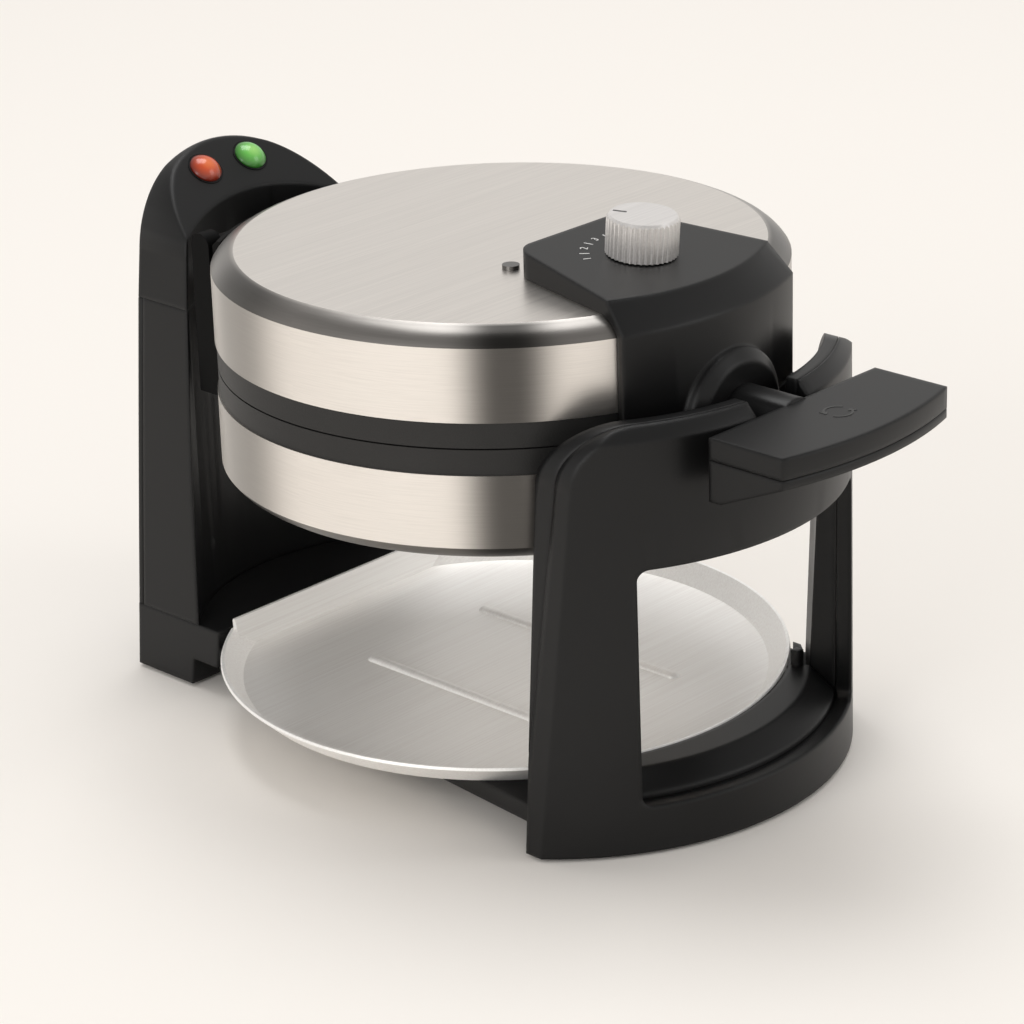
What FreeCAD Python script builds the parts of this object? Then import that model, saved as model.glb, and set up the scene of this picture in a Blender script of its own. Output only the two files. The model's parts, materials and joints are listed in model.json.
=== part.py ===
import FreeCAD, Part
import math
import os
import re
import Sketcher

# A rotary waffle maker on a stand, built as separate pieces.
# Front and handle point to -Y, the tower is at +Y, Z is up and the floor is z = 0.
os.makedirs("parts", exist_ok=True)
doc = FreeCAD.newDocument("waffle_maker")
sheet = doc.addObject("Spreadsheet::Sheet", "Sizes")

# Driving sizes in millimetres and degrees: name, value, meaning
ROWS = (
    ("drum_y", 7.4, "drum axis behind the middle of the whole"),
    ("drum_z", 150.5, "flip axis above the floor"),
    ("slack", 0.3, "space between parts that move past each other"),
    ("play", 0.05, "radial play of a shaft in its bore"),
    ("drum_r", 108, "steel shell radius"),
    ("shell_wall", 1, "steel sheet"),
    ("half_height", 43.5, "lid top above the parting plane"),
    ("bevel_start", 37.2, "where the shell wall starts to turn in"),
    ("bevel_round", 14, "radius of the rounded shell edge"),
    ("lid_flat_r", 99.3, "flat of the lid"),
    ("rim_gap", 0.3, "half of the parting groove"),
    ("rim_height", 9.8, "height of the black rim"),
    ("rim_r", 107.4, "outside of the rim"),
    ("rim_in_r", 99, "inside of the rim"),
    ("skirt", 5.2, "rim skirt inside the shell"),
    ("skirt_wall", 2.1, "thickness of that skirt"),
    ("plate_top", 1.5, "stud tops off the parting plane"),
    ("plate_back", 13, "back of the cooking plate"),
    ("plate_r", 95, "cooking plate"),
    ("flange_r", 98.6, "flange of the cooking plate"),
    ("flange_back", 5, "back of that flange"),
    ("waffle_r", 88, "waffle"),
    ("groove_pitch", 17, "waffle grid"),
    ("groove_width", 6, "rib of the waffle"),
    ("groove_depth", 7, "depth of the waffle grid"),
    ("post_r", 5, "posts behind the cooking plate"),
    ("post_aft", 45, "rear post"),
    ("screw_x", 25, "lid screw to the side"),
    ("screw_fore", 29, "lid screw in front of the drum axis"),
    ("screw_r", 2, "screw shank"),
    ("head_r", 3.2, "screw head"),
    ("head_high", 1.6, "height of a screw head"),
    ("heater_ring_r", 70, "heater ring"),
    ("heater_tube_r", 3.4, "heater tube"),
    ("heater_gap", 20, "angle left open between the heater ends"),
    ("fuse_half", 9, "half of the thermal fuse"),
    ("reflector_back", 22, "floor of the heat reflector"),
    ("reflector_wall", 0.6, "reflector sheet"),
    ("front_r", 112, "front face of the shrouds"),
    ("housing_rear", 36, "rear edge of the control housing"),
    ("housing_rear_half", 29.5, "half of that edge"),
    ("housing_corner", 10, "rear corners of the housing"),
    ("housing_front_half", 50, "half of the front edge"),
    ("housing_front", 116, "where the sides of the housing end"),
    ("housing_bevel", 38.5, "lower edge of the front bevel"),
    ("housing_bevel_top", 48.8, "upper edge of the front bevel"),
    ("housing_bevel_r", 102.3, "radius of that upper edge"),
    ("housing_wall", 2.5, "wall of the control housing"),
    ("housing_room", 20, "room for the housing above the lid"),
    ("shroud_half", 48, "half of the lower front shroud"),
    ("shroud_low", 38, "lower edge of that shroud"),
    ("dial_fore", 70, "dial in front of the drum axis"),
    ("dial_high", 51, "dial seat above the parting plane"),
    ("dial_tilt", 4.6, "lean of the housing top to the front"),
    ("knob_r", 13.3, "knob"),
    ("knob_high", 15, "knob height"),
    ("knob_gap", 0.5, "knob above the housing"),
    ("rib_r", 0.9, "flutes of the knob"),
    ("shaft_r", 3, "dial shaft"),
    ("boss_r", 24.4, "round boss at the handle root"),
    ("boss_fore", 117, "front of that boss"),
    ("boss_face_r", 20, "front edge of that boss"),
    ("boss_chamfer", 3.5, "length of its chamfer"),
    ("stem_r", 12, "handle stem"),
    ("stem_end", 141, "end of the stem"),
    ("notch_gap", 2.2, "play of the stem in the notch of the arch"),
    ("split", 2.5, "handle split above the flip axis"),
    ("split_gap", 0.3, "gap in the handle split"),
    ("grip_half", 46, "half of the grip"),
    ("grip_in", 140, "inner edge of the grip"),
    ("grip_end", 172, "outer edge at the ends"),
    ("grip_out", 179, "outer edge in the middle"),
    ("grip_top", 10.6, "top of the grip"),
    ("grip_low", 12.8, "underside at the inner edge"),
    ("grip_toe", 1, "underside at the outer edge"),
    ("hinge_aft", 113.5, "lid hinge behind the drum axis"),
    ("hinge_high", 26, "lid hinge above the parting plane"),
    ("pin_r", 3, "hinge pin"),
    ("float_rise", 4, "rise of the floating hinge"),
    ("knuckle_in", 31, "hinge knuckle, inner side"),
    ("knuckle_out", 40.5, "hinge knuckle, outer side"),
    ("knuckle_r", 6, "hinge knuckle"),
    ("ear_in", 42, "hinge ear, inner side"),
    ("ear_out", 49, "hinge ear, outer side"),
    ("ear_half", 5, "half of the ear depth"),
    ("ear_cheek", 2, "outer wall of the ear beside the pin"),
    ("ear_drop", 8, "ear root above the shroud edge"),
    ("cover_half", 58, "half of the rear shrouds"),
    ("cover_wall", 3.7, "wall of the rear shrouds"),
    ("cover_top", 38, "top of the upper rear shroud"),
    ("hub_r", 16, "hub of the rear axle"),
    ("hub_aft", 119, "rear face of the hub"),
    ("axle_r", 8, "rear axle"),
    ("axle_bore", 5.5, "wire way in the axle"),
    ("axle_end", 156, "end of the axle"),
    ("clip_aft", 153.6, "front of the axle clip"),
    ("clip_wall", 1, "axle clip"),
    ("stand_lift", 1.5, "height of the rubber feet"),
    ("arch_fore", 26, "centre of the arch curve"),
    ("arch_r", 110, "front of the arch at the top"),
    ("arch_foot_r", 111.7, "front of the arch at the floor"),
    ("arch_in_r", 100, "back of the arch at the top"),
    ("arch_in_foot_r", 94, "back of the arch at the floor"),
    ("seam_r", 105, "seam between the two arch mouldings"),
    ("seam", 0.2, "width of that seam"),
    ("arm_top", 12.5, "top of the arms above the flip axis"),
    ("arm_bevel", 7.5, "where the top bevel starts"),
    ("arm_corner", 22, "outer corner of the arms"),
    ("leg_half", 77.5, "half of the arch at the corners"),
    ("foot_half", 87.5, "half of the arch at the floor"),
    ("leg_fore", 88, "rear face of the legs"),
    ("window_half", 60, "half of the window"),
    ("window_top", 40, "window top below the flip axis"),
    ("window_low", 131, "window sill below the flip axis"),
    ("window_corner", 4, "corner of the window"),
    ("arch_screw_end", 104, "front end of the arch screw holes"),
    ("arch_screw_seat", 84, "seat of the arch screw heads"),
    ("deck_low", 12, "underside of the deck above the floor"),
    ("deck_top", 19, "top of the deck"),
    ("deck_wall", 2.5, "top wall of the deck"),
    ("deck_front_half", 84, "half of the deck at the arch"),
    ("deck_rear_half", 64, "half of the deck at the tower"),
    ("deck_edge", 8, "solid edge around the pocket of the deck"),
    ("cover_screw_front", 70, "front screws of the bottom cover"),
    ("cover_screw_rear", 84, "rear screws of the bottom cover"),
    ("cover_plate", 2, "bottom cover"),
    ("sill_in_r", 80, "inner edge of the sill"),
    ("sill_r", 95, "upper edge of the sill slope"),
    ("sill_top", 27.5, "flat of the sill above the floor"),
    ("sill_edge", 21.5, "lower edge of the sill slope"),
    ("sill_side", 73, "half of the sill behind the legs"),
    ("tab_in", 56, "tray tab, inner side"),
    ("tab_out", 59.5, "tray tab, outer side"),
    ("tab_fore", 97, "front of the tray tab"),
    ("tab_deep", 3.4, "depth of the tray tab"),
    ("tab_top", 33.5, "top of the tray tab"),
    ("block_aft", 100, "front of the rear block"),
    ("block_top", 26.5, "top of the rear block"),
    ("foot_aft", 114, "front of the rear feet"),
    ("foot_in", 52.5, "inner side of the rear feet"),
    ("tower_foot_half", 67, "half of the tower at the floor"),
    ("tower_top_half", 48, "half of the tower under the cap"),
    ("tower_r", 161, "rear of the tower"),
    ("tower_wall", 2.5, "tower wall"),
    ("back_screw_low_x", 40, "low screws of the rear cover to the side"),
    ("back_screw_low", 48, "height of those screws"),
    ("back_screw_high_x", 33, "high screws of the rear cover to the side"),
    ("back_screw_high", 128, "height of those screws"),
    ("back_screw_long", 13.5, "length of the rear cover screws"),
    ("back_sink", 1.6, "depth of the rear cover screw seats"),
    ("recess_r", 88, "hollow face behind the drum"),
    ("recess_aft", 139, "deepest line of that face"),
    ("cap_split", 1, "cap seam above the flip axis"),
    ("cap_side", 20, "end of the straight cap side"),
    ("cap_side_half", 45, "half of the cap there"),
    ("cap_shoulder", 48.5, "start of the cap crown"),
    ("cap_shoulder_half", 25, "half of the cap there"),
    ("shoulder_r", 36, "cap shoulder"),
    ("crown_r", 65, "cap crown"),
    ("facet_aft", 139, "lamp face, lower edge"),
    ("facet_high", 37, "height of that edge"),
    ("facet_angle", 38.66, "slope of the lamp face"),
    ("lens_x", 12, "lens to the side"),
    ("lens_up", 14, "lens up the slope"),
    ("lens_r", 6.6, "lens"),
    ("lens_neck", 5.6, "neck of the lens"),
    ("lens_deep", 3, "depth of that neck"),
    ("lens_edge", 0.8, "edge of the lens"),
    ("lens_dome", 4, "top of the lens"),
    ("lamp_r", 2.5, "indicator lamp"),
    ("board_deep", 7, "board under the lamp face"),
    ("board_wall", 1.6, "board"),
    ("board_half", 20, "half of the board"),
    ("board_long", 12, "length of the board"),
    ("bush_r", 11, "bearing"),
    ("bush_flange_r", 13, "flange of the bearing"),
    ("bush_front", 136.2, "front of that flange"),
    ("bush_seat", 137.8, "back of that flange"),
    ("bush_end", 152.8, "end of the bearing"),
    ("boss_wall", 4, "wall around the bearing"),
    ("gland_r", 7.5, "flange of the cord gland"),
    ("gland_neck", 5.9, "neck of the cord gland"),
    ("gland_bore", 3.2, "cord way"),
    ("gland_high", 42, "cord gland above the floor"),
    ("gland_out", 164, "rear face of the cord gland"),
    ("terminal_in", 14, "terminal block, inner side"),
    ("terminal_out", 34, "terminal block, outer side"),
    ("terminal_aft", 142.5, "front of the terminal block"),
    ("terminal_deep", 9.5, "depth of the terminal block"),
    ("terminal_high", 12, "height of the terminal block"),
    ("tray_aft", 4, "tray centre behind the drum axis"),
    ("tray_r", 111, "tray"),
    ("tray_floor_r", 103, "tray floor"),
    ("tray_deep", 8.6, "tray depth"),
    ("tray_wall", 0.8, "tray sheet"),
    ("tray_chord", 97.5, "straight rear edge of the tray"),
    ("tray_lip", 12.6, "height of that edge"),
    ("tray_rib_x", 31.5, "pressed rib to the side"),
    ("tray_rib_r", 3.2, "pressed rib"),
    ("tray_rib_sink", 0.8, "rib centre below the tray"),
    ("tray_rib_front", 55, "front end of the ribs"),
    ("tray_rib_rear", 45, "rear end of the ribs"),
    ("pad_r", 4.4, "rubber foot"),
    ("pad_front_x", 72, "front feet to the side"),
    ("pad_front", 94.7, "front feet"),
    ("pad_rear_x", 58.2, "rear feet to the side"),
    ("pad_rear", 133, "rear feet"),
    ("reach", 200, "length of the cutting tools"),
    ("tool_lead", 5, "start of a tool below the face that it cuts"),
    ("top_start", 20, "rear end of the housing top plane"),
    ("top_end", 120, "front end of the housing top plane"),
    ("shroud_back", 85, "rear end of the shroud tool"),
    ("window_start", 40, "rear end of the arch outline tools"),
    ("notch_start", 90, "rear end of the notch tools"),
    ("block_start", 50, "front end of the tools under the rear block"),
    ("tower_start", 95, "front end of the tower tools"),
    ("bore_start", 100, "front end of the tower bores"),
    ("back_start", 110, "front end of the rear cover tool"),
    ("wedge_start", 90, "front end of the lamp face plane"),
    ("wedge_end", 190, "rear end of the lamp face plane"),
)
NAMES = [row[0] for row in ROWS]
for number, (name, amount, meaning) in enumerate(ROWS, start=1):
    sheet.set("A%d" % number, name)
    sheet.set("B%d" % number, str(amount))
    sheet.set("C%d" % number, meaning)
    sheet.setAlias("B%d" % number, name)
doc.recompute()
PIECES = []
TURN = {
    "x": FreeCAD.Rotation(FreeCAD.Vector(0, 1, 0), 90),
    "y": FreeCAD.Rotation(FreeCAD.Vector(1, 0, 0), -90),
    "z": FreeCAD.Rotation(),
}


# Expressions
def cell(text):
    """The expression with every size name pointed at the sheet."""
    def point(word):
        return "Sizes." + word.group() if word.group() in NAMES else word.group()
    return re.sub(r"[a-z][a-z_]*", point, str(text))


def number_of(text):
    """The value of an expression now."""
    return float(sheet.evalExpression(cell(text)))


def bind(thing, field, text):
    """Ties a field of an object to an expression."""
    thing.setExpression(field, cell(text))


def fore(text):
    """A place in front of the drum axis."""
    return "drum_y - (%s)" % text


def aft(text):
    """A place behind the drum axis."""
    return "drum_y + (%s)" % text


def over(text):
    """A height above the flip axis."""
    return "drum_z + (%s)" % text


def under(text):
    """A height below the flip axis."""
    return "drum_z - (%s)" % text


# Solids
def place(thing, x, y, z):
    """Ties the position of an object to three expressions."""
    for letter, text in zip("xyz", (x, y, z)):
        bind(thing, "Placement.Base." + letter, text)
    return thing


def block(name, x, y, z):
    """A box between two places along each axis."""
    solid = doc.addObject("Part::Box", name)
    for field, pair in (("Length", x), ("Width", y), ("Height", z)):
        bind(solid, field, "(%s) - (%s)" % (pair[1], pair[0]))
    return place(solid, x[0], y[0], z[0])


def rod(name, axis, radius, start, end, first, second):
    """A cylinder along one axis; the other two places follow in the order x, y, z."""
    solid = doc.addObject("Part::Cylinder", name)
    solid.Placement = FreeCAD.Placement(FreeCAD.Vector(), TURN[axis])
    bind(solid, "Radius", radius)
    bind(solid, "Height", "(%s) - (%s)" % (end, start))
    spots = {"x": (start, first, second), "y": (first, start, second), "z": (first, second, start)}
    return place(solid, *spots[axis])


def ball(name, radius, x, y, z):
    """A sphere."""
    solid = doc.addObject("Part::Sphere", name)
    bind(solid, "Radius", radius)
    return place(solid, x, y, z)


def leaning_rod(name, radius, low, high, x, y, z, angle):
    """A cylinder whose axis leans to the front by an angle."""
    solid = doc.addObject("Part::Cylinder", name)
    solid.Placement = FreeCAD.Placement(FreeCAD.Vector(), FreeCAD.Rotation(FreeCAD.Vector(1, 0, 0), 1))
    bind(solid, "Placement.Rotation.Angle", angle)
    bind(solid, "Radius", radius)
    bind(solid, "Height", "(%s) - (%s)" % (high, low))
    rise = "(%s) + (%s) * cos(%s)" % (z, low, angle)
    return place(solid, x, "(%s) - (%s) * sin(%s)" % (y, low, angle), rise)


def arc_between(start, end, radius, turn):
    """A circular arc from start to end that turns left or right."""
    middle = (start + end) * 0.5
    along = end - start
    side = FreeCAD.Vector(-along.y, along.x, 0).normalize()
    if turn == "right":
        side = side * -1
    centre = middle + side * math.sqrt(radius ** 2 - (along.Length / 2) ** 2)
    first, last = (start, end) if turn == "left" else (end, start)
    angles = [math.atan2(spot.y - centre.y, spot.x - centre.x) for spot in (first, last)]
    circle = Part.Circle(centre, FreeCAD.Vector(0, 0, 1), radius)
    return Part.ArcOfCircle(circle, angles[0], angles[1])


def outline(sketch, points):
    """A closed outline; a point with a radius and a turn starts an arc, any other a straight line."""
    spots = [FreeCAD.Vector(number_of(point[0]), number_of(point[1]), 0) for point in points]
    total = len(points)
    ends = []
    for index, point in enumerate(points):
        start = spots[index]
        end = spots[(index + 1) % total]
        if len(point) == 2:
            sketch.addGeometry(Part.LineSegment(start, end), False)
            ends.append((1, 2))
            continue
        sketch.addGeometry(arc_between(start, end, number_of(point[2]), point[3]), False)
        ends.append((1, 2) if point[3] == "left" else (2, 1))
    for index in range(total):
        after = (index + 1) % total
        joined = Sketcher.Constraint("Coincident", index, ends[index][1], after, ends[after][0])
        sketch.addConstraint(joined)
    for index, point in enumerate(points):
        for letter, text, axis in (("X", point[0], -2), ("Y", point[1], -1)):
            if text == "0":
                on_axis = Sketcher.Constraint("PointOnObject", index, ends[index][0], axis)
                sketch.addConstraint(on_axis)
                continue
            held = Sketcher.Constraint("Distance" + letter, -1, 1, index, ends[index][0], number_of(text))
            row = sketch.addConstraint(held)
            bind(sketch, "Constraints[%d]" % row, text)
        if len(point) > 2:
            row = sketch.addConstraint(Sketcher.Constraint("Radius", index, number_of(point[2])))
            bind(sketch, "Constraints[%d]" % row, point[2])


def drawn(name, role, points):
    """A body with one sketch on one of its own planes."""
    body = doc.addObject("PartDesign::Body", name)
    sketch = body.newObject("Sketcher::SketchObject", name + "_outline")
    plane = [feature for feature in body.Origin.OriginFeatures if feature.Role == role][0]
    sketch.AttachmentSupport = [(plane, "")]
    sketch.MapMode = "FlatFace"
    outline(sketch, points)
    return body, sketch


def turned(name, points, x, y, z):
    """A solid turned about a vertical axis from an outline of radius and height."""
    body, sketch = drawn(name, "XZ_Plane", points)
    solid = body.newObject("PartDesign::Revolution", name + "_turned")
    solid.Profile = sketch
    solid.ReferenceAxis = (sketch, ["V_Axis"])
    solid.Angle = 360
    sketch.Visibility = False
    return place(body, x, y, z)


def slab(name, role, points, low, high):
    """An outline made thick along the axis its plane faces."""
    body, sketch = drawn(name, role, points)
    solid = body.newObject("PartDesign::Pad", name + "_pad")
    solid.Profile = sketch
    bind(solid, "Length", "(%s) - (%s)" % (high, low))
    sketch.Visibility = False
    letter, text = {"XY_Plane": ("z", low), "XZ_Plane": ("y", high), "YZ_Plane": ("x", low)}[role]
    bind(body, "Placement.Base." + letter, text)
    return body


def lean(body, angle):
    """Leans a body to the front about the X axis."""
    body.Placement = FreeCAD.Placement(body.Placement.Base, FreeCAD.Rotation(FreeCAD.Vector(1, 0, 0), 1))
    bind(body, "Placement.Rotation.Angle", angle)
    return body


def joined(name, *solids):
    """Solids made one."""
    result = doc.addObject("Part::MultiFuse", name)
    result.Shapes = list(solids)
    result.Refine = True
    return result


def shared(name, *solids):
    """What all the solids have in common."""
    result = doc.addObject("Part::MultiCommon", name)
    result.Shapes = list(solids)
    return result


def cut(name, base, *tools):
    """A solid with tools taken away."""
    result = doc.addObject("Part::Cut", name)
    result.Base = base
    result.Tool = tools[0] if len(tools) == 1 else joined(name + "_tools", *tools)
    return result


def group(name, *solids):
    """Separate solids kept together."""
    result = doc.addObject("Part::Compound", name)
    result.Links = list(solids)
    return result


def flipped(name, source):
    """The mirror image of a solid in the parting plane."""
    result = doc.addObject("Part::Mirroring", name)
    result.Source = source
    result.Normal = FreeCAD.Vector(0, 0, 1)
    bind(result, "Base.z", "drum_z")
    return result


def piece(label, thing):
    """Registers a finished piece under its own name."""
    PIECES.append((label, thing))
    return thing


def both(text):
    """An expression for the right and for the left."""
    return (("r", text), ("l", "-(%s)" % text))


# Drum halves, drawn for the upper half and mirrored for the lower half
SHELL_IN = "drum_r - shell_wall"
SKIRT_OUT = "drum_r - shell_wall - 0.4"
shell_cup = turned("shell_cup", (
    ("drum_r", "rim_height"),
    ("drum_r", "bevel_start", "bevel_round", "left"),
    ("lid_flat_r", "half_height"),
    ("0", "half_height"),
    ("0", "half_height - shell_wall"),
    ("lid_flat_r - shell_wall / 2", "half_height - shell_wall"),
    (SHELL_IN, "bevel_start - shell_wall / 2"),
    (SHELL_IN, "rim_height"),
), "0", "drum_y", "drum_z")
shell_holes = [
    rod("shell_hole_" + side, "z", "screw_r + play", over("plate_back + 1"), over("half_height + 5"),
        x, fore("screw_fore"))
    for side, x in both("screw_x")
]
upper_shell = piece("upper_shell", cut("upper_shell_cut", shell_cup, *shell_holes))
upper_rim = piece("upper_rim", turned("upper_rim_ring", (
    ("rim_in_r", "rim_gap"),
    ("rim_r", "rim_gap"),
    ("rim_r", "rim_height"),
    (SKIRT_OUT, "rim_height"),
    (SKIRT_OUT, "rim_height + skirt"),
    (SKIRT_OUT + " - skirt_wall", "rim_height + skirt"),
    (SKIRT_OUT + " - skirt_wall", "rim_height"),
    ("rim_in_r", "rim_height"),
), "0", "drum_y", "drum_z"))
plate_disc = turned("plate_disc", (
    ("0", "plate_top"),
    ("flange_r", "plate_top"),
    ("flange_r", "flange_back"),
    ("plate_r", "flange_back"),
    ("plate_r", "plate_back"),
    ("0", "plate_back"),
), "0", "drum_y", "drum_z")
plate_posts = [
    rod("plate_post_" + side, "z", "post_r", over("plate_back - 1"), over("reflector_back"),
        x, fore("screw_fore"))
    for side, x in both("screw_x")
]
rear_post = rod("plate_post_rear", "z", "post_r", over("plate_back - 1"), over("reflector_back"),
                "0", aft("post_aft"))
grid_bars = []
for step in range(-5, 6):
    low = "%d * groove_pitch - groove_width / 2" % step
    high = "%d * groove_pitch + groove_width / 2" % step
    deep = (over("plate_top - 1"), over("plate_top + groove_depth"))
    long_y = (fore("waffle_r"), aft("waffle_r"))
    long_x = ("-(waffle_r)", "waffle_r")
    grid_bars.append(block("bar_y_%d" % (step + 5), (low, high), long_y, deep))
    grid_bars.append(block("bar_x_%d" % (step + 5), long_x, (aft(low), aft(high)), deep))
grid_round = rod("grid_round", "z", "waffle_r", over("plate_top - 2"), over("plate_back - 1"), "0", "drum_y")
grid = shared("grid", joined("grid_bars", *grid_bars), grid_round)
plate_solid = joined("plate_solid", plate_disc, rear_post, *plate_posts)
upper_plate = piece("upper_plate", cut("upper_plate_cut", plate_solid, grid, *shell_holes))
heater_ring = doc.addObject("Part::Torus", "heater_ring")
bind(heater_ring, "Radius1", "heater_ring_r")
bind(heater_ring, "Radius2", "heater_tube_r")
bind(heater_ring, "Angle3", "360 - heater_gap")
heater_ring.Placement = FreeCAD.Placement(FreeCAD.Vector(), FreeCAD.Rotation(FreeCAD.Vector(0, 0, 1), 1))
bind(heater_ring, "Placement.Rotation.Angle", "90 + heater_gap / 2")
HEATER_MID = over("plate_back + heater_tube_r + play")
place(heater_ring, "0", "drum_y", HEATER_MID)
END_X = "heater_ring_r * sin(heater_gap / 2)"
END_Y = aft("heater_ring_r * cos(heater_gap / 2)")
heater_pins = [
    rod("heater_pin_" + side, "z", "heater_tube_r - 1", HEATER_MID, over("reflector_back + 8"), x, END_Y)
    for side, x in both(END_X)
]
pin_holes = [
    rod("pin_hole_" + side, "z", "heater_tube_r", over("reflector_back - 3"), over("reflector_back + 3"),
        x, END_Y)
    for side, x in both(END_X)
]
upper_heater = piece("upper_heater", joined("upper_heater_tube", heater_ring, *heater_pins))
reflector_dish = turned("reflector_dish", (
    (SKIRT_OUT + " - skirt_wall - 0.2", "rim_height"),
    (SKIRT_OUT + " - skirt_wall - 0.2", "rim_height + reflector_wall"),
    ("rim_in_r + reflector_wall", "rim_height + reflector_wall"),
    ("plate_r + 2", "reflector_back + reflector_wall"),
    ("0", "reflector_back + reflector_wall"),
    ("0", "reflector_back"),
    ("plate_r + 2 - reflector_wall", "reflector_back"),
    ("rim_in_r", "rim_height"),
), "0", "drum_y", "drum_z")
upper_reflector = piece(
    "upper_reflector", cut("upper_reflector_cut", reflector_dish, *(shell_holes + pin_holes)))
lid_screw_solids = []
for side, x in both("screw_x"):
    head = rod("lid_head_" + side, "z", "head_r", over("half_height"), over("half_height + head_high"),
               x, fore("screw_fore"))
    shank = rod("lid_shank_" + side, "z", "screw_r", over("plate_back + 2"), over("half_height + 0.5"),
                x, fore("screw_fore"))
    lid_screw_solids.append(joined("lid_screw_" + side, head, shank))
lid_screws = piece("lid_screws", group("lid_screw_group", *lid_screw_solids))
piece("lower_shell", flipped("lower_shell_mirror", upper_shell))
piece("lower_rim", flipped("lower_rim_mirror", upper_rim))
piece("lower_plate", flipped("lower_plate_mirror", upper_plate))
piece("lower_heater", flipped("lower_heater_mirror", upper_heater))
piece("lower_reflector", flipped("lower_reflector_mirror", upper_reflector))
piece("lower_shell_screws", flipped("lower_screw_mirror", lid_screws))
FUSE_Z = under("reflector_back + reflector_wall + heater_tube_r - 0.7")
piece("thermal_fuse", rod("thermal_fuse_rod", "x", "heater_tube_r - 0.8", "-(fuse_half)", "fuse_half",
                          "drum_y", FUSE_Z))

# Control housing on the lid, with the upper half of the round boss
drum_form = turned("drum_form", (
    ("0", "-5"),
    ("drum_r + slack", "-5"),
    ("drum_r + slack", "bevel_start", "bevel_round + slack", "left"),
    ("lid_flat_r", "half_height"),
    ("0", "half_height"),
), "0", "drum_y", "drum_z")
FLARE = "(housing_front_half - housing_rear_half)"
SIDE_LONG = "sqrt(%s * %s + (housing_front - housing_rear) * (housing_front - housing_rear))" % (FLARE, FLARE)
BACK_OFF = "housing_corner * sqrt((%s - %s) / (%s + %s))" % (SIDE_LONG, FLARE, SIDE_LONG, FLARE)
CORNER_IN = "housing_rear_half - " + BACK_OFF
CORNER_OUT = "housing_rear_half + %s * %s / %s" % (BACK_OFF, FLARE, SIDE_LONG)
CORNER_Y = fore("housing_rear + %s * (housing_front - housing_rear) / %s" % (BACK_OFF, SIDE_LONG))
housing_plan = slab("housing_plan", "XY_Plane", (
    ("-(%s)" % CORNER_IN, fore("housing_rear")),
    (CORNER_IN, fore("housing_rear"), "housing_corner", "right"),
    (CORNER_OUT, CORNER_Y),
    ("housing_front_half", fore("housing_front")),
    ("-(housing_front_half)", fore("housing_front")),
    ("-(%s)" % CORNER_OUT, CORNER_Y, "housing_corner", "right"),
), over("rim_gap"), over("half_height + housing_room"))
housing_front = turned("housing_front_form", (
    ("0", "rim_gap"),
    ("front_r", "rim_gap"),
    ("front_r", "housing_bevel"),
    ("housing_bevel_r", "housing_bevel_top"),
    ("housing_bevel_r - 3", "half_height + housing_room"),
    ("0", "half_height + housing_room"),
), "0", "drum_y", "drum_z")
TOP_FRONT = "dial_high + (dial_fore - top_end) * tan(dial_tilt)"
TOP_REAR = "dial_high + (dial_fore - top_start) * tan(dial_tilt)"
housing_side = slab("housing_side", "YZ_Plane", (
    (fore("top_start"), "drum_z - tool_lead"),
    (fore("top_start"), over(TOP_REAR)),
    (fore("top_end"), over(TOP_FRONT)),
    (fore("top_end"), "drum_z - tool_lead"),
), "-(reach)", "reach")
housing_form = shared("housing_form", housing_plan, housing_front, housing_side)
boss_cone = doc.addObject("Part::Cone", "boss_cone")
boss_cone.Placement = FreeCAD.Placement(FreeCAD.Vector(), TURN["y"])
bind(boss_cone, "Radius1", "boss_face_r")
bind(boss_cone, "Radius2", "boss_r")
bind(boss_cone, "Height", "boss_chamfer")
place(boss_cone, "0", fore("boss_fore"), "drum_z")
boss_body = rod("boss_body", "y", "boss_r", fore("boss_fore - boss_chamfer"), fore("drum_r - 3"),
                "0", "drum_z")
boss_round = joined("boss_round", boss_cone, boss_body)
boss_over = block("boss_over", ("-(boss_r)", "boss_r"), (fore("boss_fore"), fore("drum_r - 4")),
                  (over("rim_gap"), over("boss_r")))
boss_under = block("boss_under", ("-(boss_r)", "boss_r"), (fore("boss_fore"), fore("drum_r - 4")),
                   (under("boss_r"), under("rim_gap")))
housing_solid = joined("housing_solid", housing_form, shared("boss_upper", boss_round, boss_over))
housing_cavity = block("housing_cavity", ("-(housing_rear_half - 5)", "housing_rear_half - 5"),
                       (fore("dial_fore + 22"), fore("housing_rear + 8")),
                       (over("half_height - 1"), over("dial_high - housing_wall - 1.8")))
DIAL = ("0", fore("dial_fore"), over("dial_high"), "dial_tilt")
shaft_hole = leaning_rod("shaft_hole", "shaft_r + slack", "-6", "6", *DIAL)
HANDLE_SCREW = "split + 5"
upper_screw_hole = rod("upper_screw_hole", "y", "screw_r - 0.2 + play", fore("boss_fore + 12"),
                       fore("drum_r - 3"), "0", over(HANDLE_SCREW))
upper_head_hole = rod("upper_head_hole", "y", "head_r + slack", fore("front_r"), fore("drum_r - 3"),
                      "0", over(HANDLE_SCREW))
piece("control_housing", cut("control_housing_cut", housing_solid, drum_form, housing_cavity, shaft_hole,
                             upper_screw_hole, upper_head_hole))
thermostat_body = rod("thermostat_body", "z", "knob_r - 2", over("half_height"),
                      over("dial_high - housing_wall - 1.9"), "0", fore("dial_fore"))
piece("thermostat", cut("thermostat_cut", thermostat_body,
                        leaning_rod("thermostat_bore", "shaft_r + play", "-5.5", "6", *DIAL)))

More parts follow.
